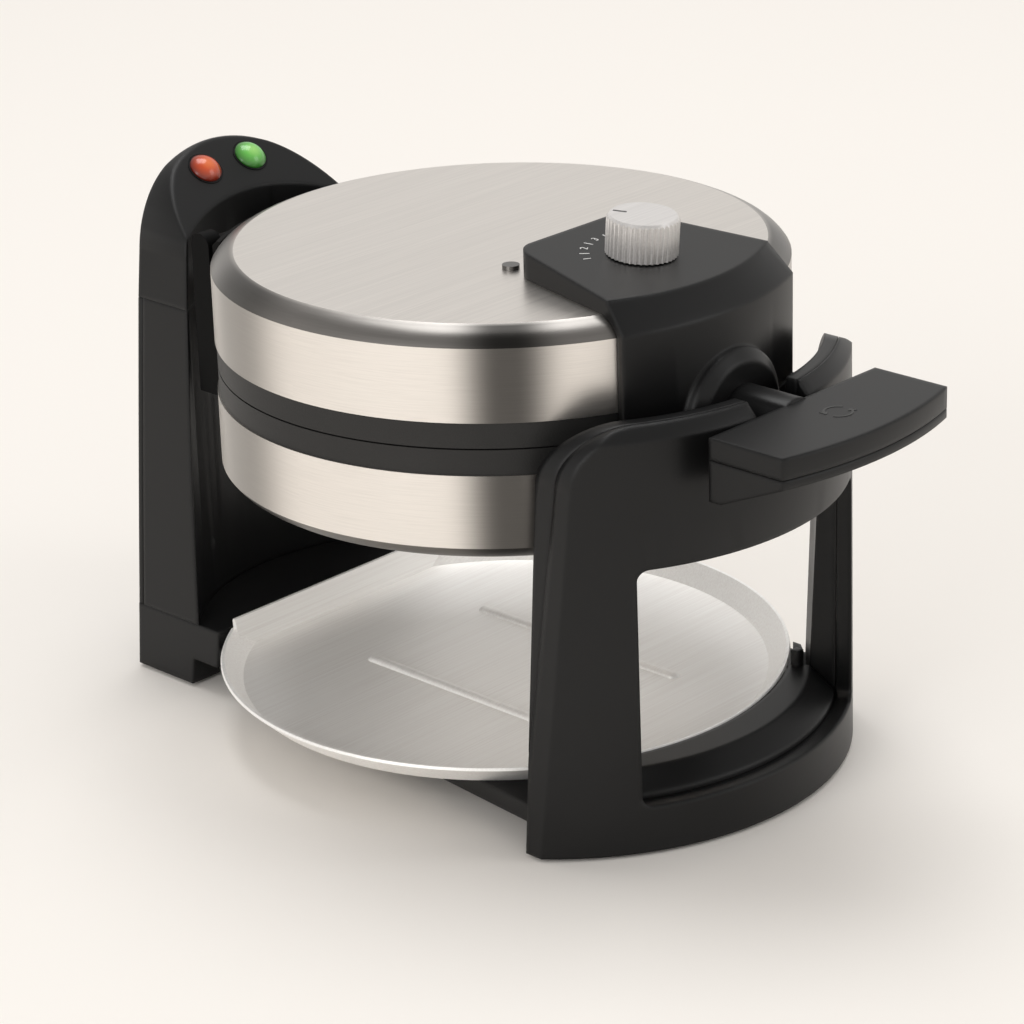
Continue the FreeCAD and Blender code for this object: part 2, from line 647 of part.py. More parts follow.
# Dial
piece("dial_shaft", leaning_rod("dial_shaft_rod", "shaft_r", "-5", "knob_high - 6", *DIAL))
knob_body, knob_sketch = drawn("knob_body", "XZ_Plane", (
    ("shaft_r + play", "knob_gap"),
    ("knob_r", "knob_gap"),
    ("knob_r", "knob_high - 1.4"),
    ("knob_r - 1.2", "knob_high"),
    ("0", "knob_high"),
    ("0", "knob_high - 5.9"),
    ("shaft_r + play", "knob_high - 5.9"),
))
knob_turn = knob_body.newObject("PartDesign::Revolution", "knob_turn")
knob_turn.Profile = knob_sketch
knob_turn.ReferenceAxis = (knob_sketch, ["V_Axis"])
knob_turn.Angle = 360
flute_sketch = knob_body.newObject("Sketcher::SketchObject", "flute_outline")
knob_floor = [feature for feature in knob_body.Origin.OriginFeatures if feature.Role == "XY_Plane"][0]
flute_sketch.AttachmentSupport = [(knob_floor, "")]
flute_sketch.MapMode = "FlatFace"
flute_start = FreeCAD.Vector(number_of("knob_r + 0.3"), 0, 0)
flute_sketch.addGeometry(Part.Circle(flute_start, FreeCAD.Vector(0, 0, 1), number_of("rib_r")), False)
flute_sketch.addConstraint(Sketcher.Constraint("PointOnObject", 0, 3, -1))
flute_sketch.addConstraint(Sketcher.Constraint("DistanceX", -1, 1, 0, 3, flute_start.x))
bind(flute_sketch, "Constraints[1]", "knob_r + 0.3")
flute_sketch.addConstraint(Sketcher.Constraint("Radius", 0, number_of("rib_r")))
bind(flute_sketch, "Constraints[2]", "rib_r")
flute = knob_body.newObject("PartDesign::Pocket", "flute")
flute.Profile = flute_sketch
flute.Type = "ThroughAll"
flute.Midplane = True
flutes = knob_body.newObject("PartDesign::PolarPattern", "flutes")
flutes.Originals = [flute]
flutes.Axis = (flute_sketch, ["N_Axis"])
flutes.Angle = 360
flutes.Occurrences = 40
knob_body.Tip = flutes
place(knob_body, DIAL[0], DIAL[1], DIAL[2])
piece("dial_knob", lean(knob_body, "dial_tilt"))

# Lower front shroud
shroud_form = turned("shroud_form", (
    ("0", "-(rim_gap)"),
    ("front_r", "-(rim_gap)"),
    ("front_r", "-(shroud_low - 3)"),
    ("front_r - 3", "-(shroud_low)"),
    ("0", "-(shroud_low)"),
), "0", "drum_y", "drum_z")
shroud_box = block("shroud_box", ("-(shroud_half)", "shroud_half"),
                   (fore("front_r + tool_lead"), fore("shroud_back")),
                   (under("shroud_low + tool_lead"), over("tool_lead")))
shroud_solid = joined("shroud_solid", shared("shroud_front", shroud_form, shroud_box),
                      shared("boss_lower", boss_round, boss_under))
drum_round = rod("drum_round", "z", "drum_r + slack", under("half_height"), over("5"), "0", "drum_y")
lower_screw_hole = rod("lower_screw_hole", "y", "screw_r - 0.2 + play", fore("boss_fore + 12"),
                       fore("drum_r - 3"), "0", under("split + 3"))
lower_head_hole = rod("lower_head_hole", "y", "head_r + slack", fore("front_r"), fore("drum_r - 3"),
                      "0", under("split + 3"))
piece("lower_front_shroud", cut("lower_front_shroud_cut", shroud_solid, drum_round, lower_screw_hole,
                                lower_head_hole))

# Handle in two halves
GRIP_RISE = "(grip_out - grip_end)"
ARC_R = "(grip_half * grip_half + %s * %s) / (2 * %s)" % (GRIP_RISE, GRIP_RISE, GRIP_RISE)
GRIP = (
    ("-(grip_half)", fore("grip_in")),
    ("grip_half", fore("grip_in")),
    ("grip_half", fore("grip_end"), ARC_R, "right"),
    ("-(grip_half)", fore("grip_end")),
)
SPLIT_UP = over("split + split_gap / 2")
SPLIT_DOWN = over("split - split_gap / 2")
stem = rod("stem", "y", "stem_r", fore("stem_end"), fore("boss_fore"), "0", "drum_z")
stem_over = block("stem_over", ("-(reach)", "reach"), (fore("reach"), "drum_y"), (SPLIT_UP, over("reach")))
stem_under = block("stem_under", ("-(reach)", "reach"), (fore("reach"), "drum_y"),
                   (under("reach"), SPLIT_DOWN))
grip_upper = slab("grip_upper", "XY_Plane", GRIP, SPLIT_UP, over("grip_top"))
upper_handle_solid = joined("upper_handle_solid", grip_upper, shared("stem_upper", stem, stem_over))
piece("upper_handle", cut("upper_handle_cut", upper_handle_solid, upper_screw_hole))
grip_block = slab("grip_block", "XY_Plane", GRIP, under("grip_low + 2"), SPLIT_DOWN)
grip_wedge = slab("grip_wedge", "YZ_Plane", (
    (fore("grip_in - 5"), over("grip_top")),
    (fore("grip_in - 5"), under("grip_low")),
    (fore("grip_in + 5"), under("grip_low")),
    (fore("grip_end"), under("grip_toe")),
    (fore("grip_out + 5"), under("grip_toe")),
    (fore("grip_out + 5"), over("grip_top")),
), "-(reach)", "reach")
lower_handle_solid = joined("lower_handle_solid", shared("grip_lower", grip_block, grip_wedge),
                            shared("stem_lower", stem, stem_under))
piece("lower_handle", cut("lower_handle_cut", lower_handle_solid, lower_screw_hole))
for side, height in (("upper", over(HANDLE_SCREW)), ("lower", under("split + 3"))):
    head = rod(side + "_screw_head", "y", "head_r", fore("front_r"), fore("front_r - head_high"), "0", height)
    shank = rod(side + "_screw_shank", "y", "screw_r - 0.2", fore("boss_fore + 11.5"), fore("front_r - 1"),
                "0", height)
    piece(side + "_handle_screw", joined(side + "_handle_screw_solid", head, shank))

# Hinge: cover on the lid, bracket on the lower half, two pins in slotted ears
COVER_R = "drum_r + slack + cover_wall"
HINGE = (aft("hinge_aft"), over("hinge_high"))
cover_form = turned("cover_form", (
    ("drum_r + slack", "2 * rim_gap"),
    (COVER_R, "2 * rim_gap"),
    (COVER_R, "cover_top - 2"),
    (COVER_R + " - 2", "cover_top"),
    ("drum_r + slack", "cover_top"),
), "0", "drum_y", "drum_z")
cover_box = block("cover_box", ("-(cover_half)", "cover_half"), (aft("drum_r / 2"), aft("reach")),
                  (under("reach"), over("reach")))
knuckles = []
for side, low, high in (("r", "knuckle_in", "knuckle_out"), ("l", "-(knuckle_out)", "-(knuckle_in)")):
    arm = block("knuckle_arm_" + side, (low, high), (aft("drum_r - 10"), aft("hinge_aft")),
                (over("hinge_high - 4"), over("hinge_high + 4")))
    knuckles.append(arm)
    knuckles.append(rod("knuckle_" + side, "x", "knuckle_r", low, high, *HINGE))
pin_bore = rod("pin_bore", "x", "pin_r + play", "-(reach)", "reach", *HINGE)
cover_solid = joined("cover_solid", shared("cover_band", cover_form, cover_box), *knuckles)
lid_round = rod("lid_round", "z", "drum_r + slack", under("5"), over("half_height + 5"), "0", "drum_y")
piece("hinge_cover", cut("hinge_cover_cut", cover_solid, lid_round, pin_bore))
bracket_form = turned("bracket_form", (
    ("drum_r + slack", "-(2 * rim_gap)"),
    (COVER_R, "-(2 * rim_gap)"),
    (COVER_R, "-(cover_top - 2)"),
    (COVER_R + " - 2", "-(cover_top)"),
    ("drum_r + slack", "-(cover_top)"),
), "0", "drum_y", "drum_z")
ears = []
slots = []
EAR_ROOT = under("cover_top - ear_drop")
SLOT_IN = "ear_in - 1"
SLOT_OUT = "ear_out - ear_cheek"
for side, low, high, start, end in (
    ("r", "ear_in", "ear_out", SLOT_IN, SLOT_OUT),
    ("l", "-(ear_out)", "-(ear_in)", "-(%s)" % SLOT_OUT, "-(%s)" % SLOT_IN),
):
    ears.append(block("ear_root_" + side, (low, high), (aft("drum_r * 0.85"), aft("hinge_aft + ear_half")),
                      (EAR_ROOT, under("2 * rim_gap"))))
    ears.append(block("ear_" + side, (low, high), (aft("hinge_aft - ear_half"), aft("hinge_aft + ear_half")),
                      (EAR_ROOT, over("hinge_high + float_rise"))))
    ears.append(rod("ear_top_" + side, "x", "ear_half", low, high, HINGE[0], over("hinge_high + float_rise")))
    slots.append(block("slot_" + side, (start, end),
                       (aft("hinge_aft - pin_r - play"), aft("hinge_aft + pin_r + play")),
                       (over("hinge_high"), over("hinge_high + float_rise"))))
    slots.append(rod("slot_low_" + side, "x", "pin_r + play", start, end, *HINGE))
    slots.append(rod("slot_high_" + side, "x", "pin_r + play", start, end, HINGE[0],
                     over("hinge_high + float_rise")))
hub = rod("hub", "y", "hub_r", aft("drum_r"), aft("hub_aft"), "0", "drum_z")
hub_relief = rod("hub_relief", "z", COVER_R + " + slack", under("2 * rim_gap"), over("hub_r + 2"),
                 "0", "drum_y")
drum_relief = rod("drum_relief", "z", "drum_r + slack", under("half_height"), over("5"), "0", "drum_y")
axle_hole = rod("axle_hole", "y", "axle_r + play", aft("drum_r"), aft("hub_aft + 1"), "0", "drum_z")
bracket_solid = joined("bracket_solid", shared("bracket_band", bracket_form, cover_box), hub, *ears)
piece("hinge_bracket", cut("hinge_bracket_cut", bracket_solid, drum_relief, hub_relief, axle_hole, *slots))
pins = []
PIN_IN = "knuckle_in - 0.5"
PIN_OUT = "ear_out - ear_cheek - slack"
for side, low, high in (("r", PIN_IN, PIN_OUT), ("l", "-(%s)" % PIN_OUT, "-(%s)" % PIN_IN)):
    pins.append(rod("hinge_pin_" + side, "x", "pin_r", low, high, *HINGE))
piece("hinge_pins", group("hinge_pin_group", *pins))

# Rear axle
AXLE_START = aft("drum_r + slack + cover_wall + 1")
axle_rod = rod("axle_rod", "y", "axle_r", AXLE_START, aft("axle_end"), "0", "drum_z")
axle_way = rod("axle_way", "y", "axle_bore", aft("drum_r"), aft("axle_end + 1"), "0", "drum_z")
CLIP_BACK = "clip_aft + clip_wall"
groove_outer = rod("groove_outer", "y", "axle_r + 2", aft("clip_aft - play"), aft(CLIP_BACK + " + play"),
                   "0", "drum_z")
groove_inner = rod("groove_inner", "y", "axle_r - 1", aft("clip_aft - 1"), aft(CLIP_BACK + " + 1"),
                   "0", "drum_z")
groove_ring = cut("groove_ring", groove_outer, groove_inner)
piece("rear_axle", cut("rear_axle_cut", axle_rod, axle_way, groove_ring))
clip_disc = rod("clip_disc", "y", "axle_r + 2.4", aft("clip_aft"), aft("clip_aft + clip_wall"), "0", "drum_z")
clip_bore = rod("clip_bore", "y", "axle_r - 1 + play", aft("clip_aft - 1"), aft("clip_aft + clip_wall + 1"),
                "0", "drum_z")
clip_mouth = block("clip_mouth", ("-(axle_r - 2)", "axle_r - 2"),
                   (aft("clip_aft - 1"), aft(CLIP_BACK + " + 1")), (under("axle_r + 5"), "drum_z"))
piece("axle_clip", cut("axle_clip_cut", clip_disc, clip_bore, clip_mouth))
piece("axle_wires", rod("axle_wire_rod", "y", "axle_bore - 0.5", AXLE_START, aft("axle_end + 0.5"),
                        "0", "drum_z"))

# Front arch: outer moulding and liner
STAND = "-(drum_z - stand_lift)"
ARCH = ("0", fore("arch_fore"), "drum_z")
front_ring = turned("front_ring", (
    ("seam_r + seam / 2", STAND),
    ("arch_foot_r", STAND),
    ("arch_r", "arm_bevel"),
    ("seam_r + seam / 2 + 0.5", "arm_top"),
    ("seam_r + seam / 2", "arm_top"),
), *ARCH)
liner_ring = turned("liner_ring", (
    ("arch_in_foot_r", STAND),
    ("seam_r - seam / 2", STAND),
    ("seam_r - seam / 2", "arm_top"),
    ("arch_in_r", "arm_top"),
), *ARCH)
CORNER = over("arm_top - arm_corner")
portal = slab("portal", "XZ_Plane", (
    ("-(foot_half)", "stand_lift"),
    ("foot_half", "stand_lift"),
    ("leg_half", CORNER, "arm_corner", "left"),
    ("leg_half - arm_corner", over("arm_top")),
    ("-(leg_half - arm_corner)", over("arm_top"), "arm_corner", "left"),
    ("-(leg_half)", CORNER),
), fore("reach"), fore("leg_fore"))
WINDOW_IN = "window_half - window_corner"
WINDOW_TOP = (
    ("window_half", under("window_top + window_corner"), "window_corner", "left"),
    (WINDOW_IN, under("window_top")),
    ("-(%s)" % WINDOW_IN, under("window_top"), "window_corner", "left"),
    ("-(window_half)", under("window_top + window_corner")),
)
window = slab("window", "XZ_Plane", WINDOW_TOP + (
    ("-(window_half)", under("window_low - window_corner"), "window_corner", "left"),
    ("-(%s)" % WINDOW_IN, under("window_low")),
    (WINDOW_IN, under("window_low"), "window_corner", "left"),
    ("window_half", under("window_low - window_corner")),
), fore("reach"), fore("window_start"))
doorway = slab("doorway", "XZ_Plane", WINDOW_TOP + (
    ("-(window_half)", "stand_lift - 3"),
    ("window_half", "stand_lift - 3"),
), fore("reach"), fore("window_start"))
NOTCH_R = "stem_r + notch_gap"
notch_round = rod("notch_round", "y", NOTCH_R, fore("reach"), fore("notch_start"), "0", "drum_z")
notch_mouth = block("notch_mouth", ("-(%s)" % NOTCH_R, NOTCH_R), (fore("reach"), fore("notch_start")),
                    ("drum_z", over("arm_top + 5")))
arch_wall = shared("arch_wall", front_ring, portal)
piece("front_arch", cut("front_arch_cut", arch_wall, window, notch_round, notch_mouth))
ARCH_SCREW_X = "(window_half + sill_side) / 2"
ARCH_SCREW_Z = "(deck_low + deck_top) / 2"
arch_holes = []
arch_screw_solids = []
for side, x in both(ARCH_SCREW_X):
    spot = (x, ARCH_SCREW_Z)
    seat = fore("arch_screw_seat")
    arch_holes.append(rod("arch_hole_" + side, "y", "screw_r + play", fore("arch_screw_end"),
                          fore("arch_screw_seat - 4"), *spot))
    arch_holes.append(rod("arch_sink_" + side, "y", "head_r - 0.2", seat, fore("arch_screw_seat - 10"),
                          *spot))
    head = rod("arch_head_" + side, "y", "head_r - 0.4", seat, fore("arch_screw_seat - 2"), *spot)
    shank = rod("arch_shank_" + side, "y", "screw_r", fore("arch_screw_end - 0.5"),
                fore("arch_screw_seat - 1"), *spot)
    arch_screw_solids.append(joined("arch_screw_" + side, head, shank))
piece("arch_liner", cut("arch_liner_cut", shared("liner_wall", liner_ring, portal), doorway, notch_round,
                        notch_mouth, *arch_holes))
piece("arch_screws", group("arch_screw_group", *arch_screw_solids))

# Base
FRONT = "leg_fore - seam"
deck = slab("deck", "XY_Plane", (
    ("-(deck_front_half)", fore(FRONT)),
    ("deck_front_half", fore(FRONT)),
    ("deck_rear_half", aft("block_aft")),
    ("-(deck_rear_half)", aft("block_aft")),
), "deck_low", "deck_top")
sill_ring = turned("sill_ring", (
    ("sill_in_r", "deck_low"),
    ("seam_r - seam / 2", "deck_low"),
    ("seam_r - seam / 2", "sill_edge"),
    ("sill_r", "sill_top"),
    ("sill_in_r", "sill_top"),
), "0", fore("arch_fore"), "0")
sill_front = block("sill_front", ("-(window_half - slack)", "window_half - slack"),
                   (fore("reach"), fore("arch_fore + 20")), ("0", "reach"))
sill_round = rod("sill_round", "z", "arch_in_foot_r - slack", "0", "reach", "0", fore("arch_fore"))
sill_wide = block("sill_wide", ("-(sill_side)", "sill_side"), (fore("reach"), fore("arch_fore + 20")),
                  ("0", "reach"))
sill_behind = shared("sill_behind", sill_round, sill_wide)
sill = shared("sill", sill_ring, joined("sill_limits", sill_front, sill_behind))
tray_room = rod("tray_room", "z", "tray_r + 1", "deck_top", "deck_top + 100", "0", aft("tray_aft"))
POCKET = (
    ("-(deck_front_half - deck_edge)", fore(FRONT + " - deck_edge")),
    ("deck_front_half - deck_edge", fore(FRONT + " - deck_edge")),
    ("deck_rear_half - deck_edge", aft("block_aft - deck_edge")),
    ("-(deck_rear_half - deck_edge)", aft("block_aft - deck_edge")),
)
pocket = slab("pocket", "XY_Plane", POCKET, "deck_low - 5", "deck_top - deck_wall")
sill_cut = cut("sill_cut", sill, tray_room, pocket)
tabs = []
for side, low, high in (("r", "tab_in", "tab_out"), ("l", "-(tab_out)", "-(tab_in)")):
    tabs.append(block("tray_tab_" + side, (low, high), (fore("tab_fore"), fore("tab_fore - tab_deep")),
                      ("deck_low", "tab_top")))
SLOPE = "(tower_foot_half - tower_top_half) / (drum_z + cap_split - stand_lift)"
BLOCK_HALF = "tower_foot_half - (block_top - stand_lift) * %s" % SLOPE
block_form = slab("block_form", "XZ_Plane", (
    ("-(tower_foot_half)", "stand_lift"),
    ("tower_foot_half", "stand_lift"),
    (BLOCK_HALF, "block_top"),
    ("-(%s)" % BLOCK_HALF, "block_top"),
), aft("block_aft"), aft("reach"))
rear_round = rod("rear_round", "z", "tower_r", "0", "reach + 50", "0", "drum_y")
block_under = block("block_under", ("-(foot_in)", "foot_in"), (aft("block_start"), aft("reach")),
                    ("-(tool_lead)", "deck_low"))
block_front = block("block_front", ("-(reach)", "reach"), (aft("block_start"), aft("foot_aft")),
                    ("-(tool_lead)", "deck_low"))
rear_block = cut("rear_block", shared("rear_block_form", block_form, rear_round), block_under, block_front)
SCREW_SPOTS = (
    ("a", "deck_front_half - 2 * deck_edge - 2", fore("cover_screw_front")),
    ("b", "-(deck_front_half - 2 * deck_edge - 2)", fore("cover_screw_front")),
    ("c", "deck_rear_half - 2 * deck_edge", aft("cover_screw_rear")),
    ("d", "-(deck_rear_half - 2 * deck_edge)", aft("cover_screw_rear")),
)
base_bosses = []
base_holes = []
base_screw_solids = []
for mark, x, y in SCREW_SPOTS:
    base_bosses.append(rod("base_boss_" + mark, "z", "post_r", "deck_low + cover_plate", "deck_top - 0.5",
                           x, y))
    base_holes.append(rod("base_hole_" + mark, "z", "screw_r + play", "0", "deck_top - 1", x, y))
    head = rod("base_head_" + mark, "z", "head_r", "deck_low - head_high", "deck_low", x, y)
    shank = rod("base_shank_" + mark, "z", "screw_r", "deck_low - 0.5", "deck_top - 1.5", x, y)
    base_screw_solids.append(joined("base_screw_" + mark, head, shank))
deck_pocketed = cut("deck_pocketed", deck, pocket)
base_deck = joined("base_deck", deck_pocketed, sill_cut, rear_block, *(tabs + base_bosses))
piece("base", cut("base_cut", base_deck, *(base_holes + arch_holes)))
cover_sheet = slab("cover_sheet", "XY_Plane", (
    ("-(deck_front_half - deck_edge - slack)", fore(FRONT + " - deck_edge - slack")),
    ("deck_front_half - deck_edge - slack", fore(FRONT + " - deck_edge - slack")),
    ("deck_rear_half - deck_edge - slack", aft("block_aft - deck_edge - slack")),
    ("-(deck_rear_half - deck_edge - slack)", aft("block_aft - deck_edge - slack")),
), "deck_low", "deck_low + cover_plate")
piece("bottom_cover", cut("bottom_cover_cut", cover_sheet, *base_holes))
piece("base_screws", group("base_screw_group", *base_screw_solids))
pads = []
for mark, spot_x, y in (("front", "pad_front_x", fore("pad_front")), ("rear", "pad_rear_x", aft("pad_rear"))):
    for side, x in both(spot_x):
        pads.append(rod("pad_%s_%s" % (mark, side), "z", "pad_r", "0", "stand_lift", x, y))
piece("rubber_feet", group("rubber_foot_group", *pads))

# Tower
CAP_SEAM = over("cap_split")
tower_form = slab("tower_form", "XZ_Plane", (
    ("-(%s)" % BLOCK_HALF, "block_top"),
    (BLOCK_HALF, "block_top"),
    ("tower_top_half", CAP_SEAM),
    ("-(tower_top_half)", CAP_SEAM),
), aft("tower_start"), aft("reach"))
tower_hollow = slab("tower_hollow", "XZ_Plane", (
    ("-(%s - tower_wall)" % BLOCK_HALF, "block_top"),
    ("%s - tower_wall" % BLOCK_HALF, "block_top"),
    ("tower_top_half - tower_wall", CAP_SEAM),
    ("-(tower_top_half - tower_wall)", CAP_SEAM),
), aft("tower_start"), aft("reach"))
RECESS_Y = aft("recess_aft - recess_r")
recess = rod("recess", "z", "recess_r", "block_top - 5", "reach + 50", "0", RECESS_Y)
recess_back = rod("recess_back", "z", "recess_r + tower_wall", "block_top - 5", "reach + 50", "0", RECESS_Y)
inner_round = rod("inner_round", "z", "tower_r - tower_wall - seam", "0", "reach + 50", "0", "drum_y")
tower_walls = cut("tower_walls", shared("tower_round", tower_form, inner_round), recess,
                  cut("tower_room", tower_hollow, recess_back))
bush_boss = rod("bush_boss", "y", "bush_r + boss_wall", aft("recess_aft + 0.5"), aft("bush_end - 1"),
                "0", "drum_z")
tower_boss_cut = block("bush_boss_top", ("-(reach)", "reach"), (aft("tower_start"), aft("reach")),
                       (CAP_SEAM, over("reach")))
bush_hole = rod("bush_hole", "y", "bush_r + play", aft("bore_start"), aft("bush_end + 1"), "0", "drum_z")
COVER_SCREWS = (
    ("a", "back_screw_low_x", "back_screw_low"),
    ("b", "-(back_screw_low_x)", "back_screw_low"),
    ("c", "back_screw_high_x", "back_screw_high"),
    ("d", "-(back_screw_high_x)", "back_screw_high"),
)
cover_bosses = []
cover_holes = []
cover_sinks = []
cover_screw_solids = []
for mark, x, z in COVER_SCREWS:
    seat = "sqrt(tower_r * tower_r - %s * %s) - back_sink" % (x, x)
    wall = "recess_aft - recess_r + sqrt(recess_r * recess_r - %s * %s) + 1" % (x, x)
    cover_bosses.append(rod("cover_boss_" + mark, "y", "post_r - 1", aft(wall), aft(seat + " - 2.6"), x, z))
    hole_end = aft(seat + " - back_screw_long - 0.5")
    cover_holes.append(rod("cover_hole_" + mark, "y", "screw_r + play", hole_end, aft("reach"), x, z))
    cover_sinks.append(rod("cover_sink_" + mark, "y", "head_r + 0.4", aft(seat), aft("reach"), x, z))
    head = rod("cover_head_" + mark, "y", "head_r", aft(seat), aft(seat + " + head_high"), x, z)
    shank = rod("cover_shank_" + mark, "y", "screw_r", aft(seat + " - back_screw_long"),
                aft(seat + " + 0.5"), x, z)
    cover_screw_solids.append(joined("cover_screw_" + mark, head, shank))
tower_solid = joined("tower_solid", tower_walls, bush_boss, *cover_bosses)
piece("tower_shell", cut("tower_shell_cut", tower_solid, bush_hole, tower_boss_cut, *cover_holes))
cover_slab = slab("cover_slab", "XZ_Plane", (
    ("-(%s)" % BLOCK_HALF, "block_top"),
    (BLOCK_HALF, "block_top"),
    ("tower_top_half", CAP_SEAM),
    ("-(tower_top_half)", CAP_SEAM),
), aft("back_start"), aft("reach"))
cover_round = rod("cover_round", "z", "tower_r - tower_wall", "0", "reach + 50", "0", "drum_y")
gland_hole = rod("gland_hole", "y", "gland_neck + 0.2", aft("bore_start"), aft("reach"), "0", "gland_high")
cover_curve = shared("cover_curve", cover_slab, rear_round)
piece("tower_rear_cover", cut("tower_rear_cover_cut", cover_curve, cover_round, gland_hole,
                              *(cover_holes + cover_sinks)))
piece("rear_cover_screws", group("cover_screw_group", *cover_screw_solids))
gland_solid = joined("gland_solid",
                     rod("gland_flange", "y", "gland_r", aft("tower_r"), aft("gland_out"), "0", "gland_high"),
                     rod("gland_stem", "y", "gland_neck", aft("tower_r - 12"), aft("gland_out - 1"),
                         "0", "gland_high"))
gland_way = rod("gland_way", "y", "gland_bore", aft("bore_start"), aft("reach"), "0", "gland_high")
piece("cord_gland", cut("cord_gland_cut", gland_solid, gland_way))
piece("terminal_block", block("terminal_box", ("terminal_in", "terminal_out"),
                              (aft("terminal_aft"), aft("terminal_aft + terminal_deep")),
                              ("block_top", "block_top + terminal_high")))
bush_flange = rod("bush_flange", "y", "bush_flange_r", aft("bush_front"), aft("bush_seat"), "0", "drum_z")
bush_body = rod("bush_body", "y", "bush_r", aft("bush_front"), aft("bush_end"), "0", "drum_z")
bush_solid = joined("bush_solid", bush_flange, bush_body)
bush_bore = rod("bush_bore", "y", "axle_r + play", aft("bore_start"), aft("reach"), "0", "drum_z")
piece("rear_bush", cut("rear_bush_cut", bush_solid, bush_bore))


# Cap and lamps
def cap_outline(inset):
    """The arched outline of the cap, drawn inwards by an amount."""
    side = "cap_side_half - %s" % inset
    shoulder = "cap_shoulder_half - %s / 2" % inset
    shoulder_z = over("cap_shoulder - %s" % inset)
    return (
        ("-(tower_top_half - %s)" % inset, CAP_SEAM),
        ("tower_top_half - %s" % inset, CAP_SEAM),
        (side, over("cap_side"), "shoulder_r", "left"),
        (shoulder, shoulder_z, "crown_r", "left"),
        ("-(%s)" % shoulder, shoulder_z, "shoulder_r", "left"),
        ("-(%s)" % side, over("cap_side")),
    )


def facet_wedge(name, drop):
    """Everything above the plane of the lamp face, lowered by an amount."""
    low = "facet_high - %s + (wedge_start - facet_aft) * tan(facet_angle)" % drop
    high = "facet_high - %s + (wedge_end - facet_aft) * tan(facet_angle)" % drop
    front = aft("wedge_start")
    points = ((front, over(low)), (aft("wedge_end"), over(high)), (front, over(high)))
    return slab(name, "YZ_Plane", points, "-(reach)", "reach")


cap_form = slab("cap_form", "XZ_Plane", cap_outline("0"), aft("tower_start"), aft("reach"))
cap_hollow = slab("cap_hollow", "XZ_Plane", cap_outline("tower_wall"), aft("tower_start"), aft("reach"))
cap_walls = shared("cap_walls", cap_form, rear_round)
cap_room = cut("cap_room", shared("cap_room_form", cap_hollow, inner_round), recess_back,
               facet_wedge("facet_inner", "tower_wall * 1.3"))
LENS_Y = aft("facet_aft + lens_up * cos(facet_angle)")
LENS_Z = over("facet_high + lens_up * sin(facet_angle)")
lens_holes = [
    leaning_rod("lens_hole_" + side, "lens_neck + 0.2", "-8", "8", x, LENS_Y, LENS_Z, "facet_angle")
    for side, x in both("lens_x")
]
piece("tower_cap", cut("tower_cap_cut", cap_walls, recess, facet_wedge("facet_outer", "0"), cap_room,
                       bush_hole, *lens_holes))
LENS_RISE = "(lens_dome - lens_edge)"
DOME_R = "(lens_r * lens_r + %s * %s) / (2 * %s)" % (LENS_RISE, LENS_RISE, LENS_RISE)
for label, x in (("power_lens", "-(lens_x)"), ("ready_lens", "lens_x")):
    lens = turned(label + "_dome", (
        ("0", "-(lens_deep)"),
        ("lens_neck", "-(lens_deep)"),
        ("lens_neck", "0"),
        ("lens_r", "0"),
        ("lens_r", "lens_edge", DOME_R, "left"),
        ("0", "lens_dome"),
    ), x, LENS_Y, LENS_Z)
    piece(label, lean(lens, "facet_angle"))
lamps = [
    leaning_rod("lamp_" + side, "lamp_r", "-(board_deep)", "-(lens_deep + 0.2)", x, LENS_Y, LENS_Z,
                "facet_angle")
    for side, x in both("lens_x")
]
piece("indicator_lamps", group("lamp_group", *lamps))
board = doc.addObject("Part::Box", "board")
board.Placement = FreeCAD.Placement(FreeCAD.Vector(), FreeCAD.Rotation(FreeCAD.Vector(1, 0, 0), 1))
bind(board, "Placement.Rotation.Angle", "facet_angle")
bind(board, "Length", "2 * board_half")
bind(board, "Width", "board_long")
bind(board, "Height", "board_wall")
BOARD_LOW = "(board_deep + board_wall)"
BOARD_BACK = "(board_long - 2)"
place(board, "-(board_half)",
      LENS_Y + " - %s * cos(facet_angle) + %s * sin(facet_angle)" % (BOARD_BACK, BOARD_LOW),
      LENS_Z + " - %s * sin(facet_angle) - %s * cos(facet_angle)" % (BOARD_BACK, BOARD_LOW))
piece("lamp_board", board)

# Drip tray
TRAY_Z = "deck_top + 0.1"
tray_dish = turned("tray_dish", (
    ("0", "0"),
    ("tray_floor_r", "0"),
    ("tray_r - 1", "tray_deep - 2"),
    ("tray_r", "tray_deep - 1"),
    ("tray_r - 0.4", "tray_deep"),
    ("tray_r - 1.6", "tray_deep"),
    ("tray_floor_r - 0.5", "tray_wall"),
    ("0", "tray_wall"),
), "0", aft("tray_aft"), TRAY_Z)
tray_behind = block("tray_behind", ("-(reach)", "reach"), (aft("tray_chord"), aft("reach")), ("0", "reach"))
CHORD_HALF = "sqrt(tray_r * tray_r - (tray_chord - tray_aft) * (tray_chord - tray_aft))"
tray_lip = slab("tray_lip_wall", "YZ_Plane", (
    (aft("tray_chord - 4"), TRAY_Z),
    (aft("tray_chord - 1"), TRAY_Z),
    (aft("tray_chord"), TRAY_Z + " + tray_lip - 1"),
    (aft("tray_chord - 0.4"), TRAY_Z + " + tray_lip"),
    (aft("tray_chord - 1.6"), TRAY_Z + " + tray_lip"),
    (aft("tray_chord - 4"), TRAY_Z + " + tray_wall"),
), "-(%s - 1.5)" % CHORD_HALF, "%s - 1.5" % CHORD_HALF)
ribs = []
RIB_Z = TRAY_Z + " - tray_rib_sink"
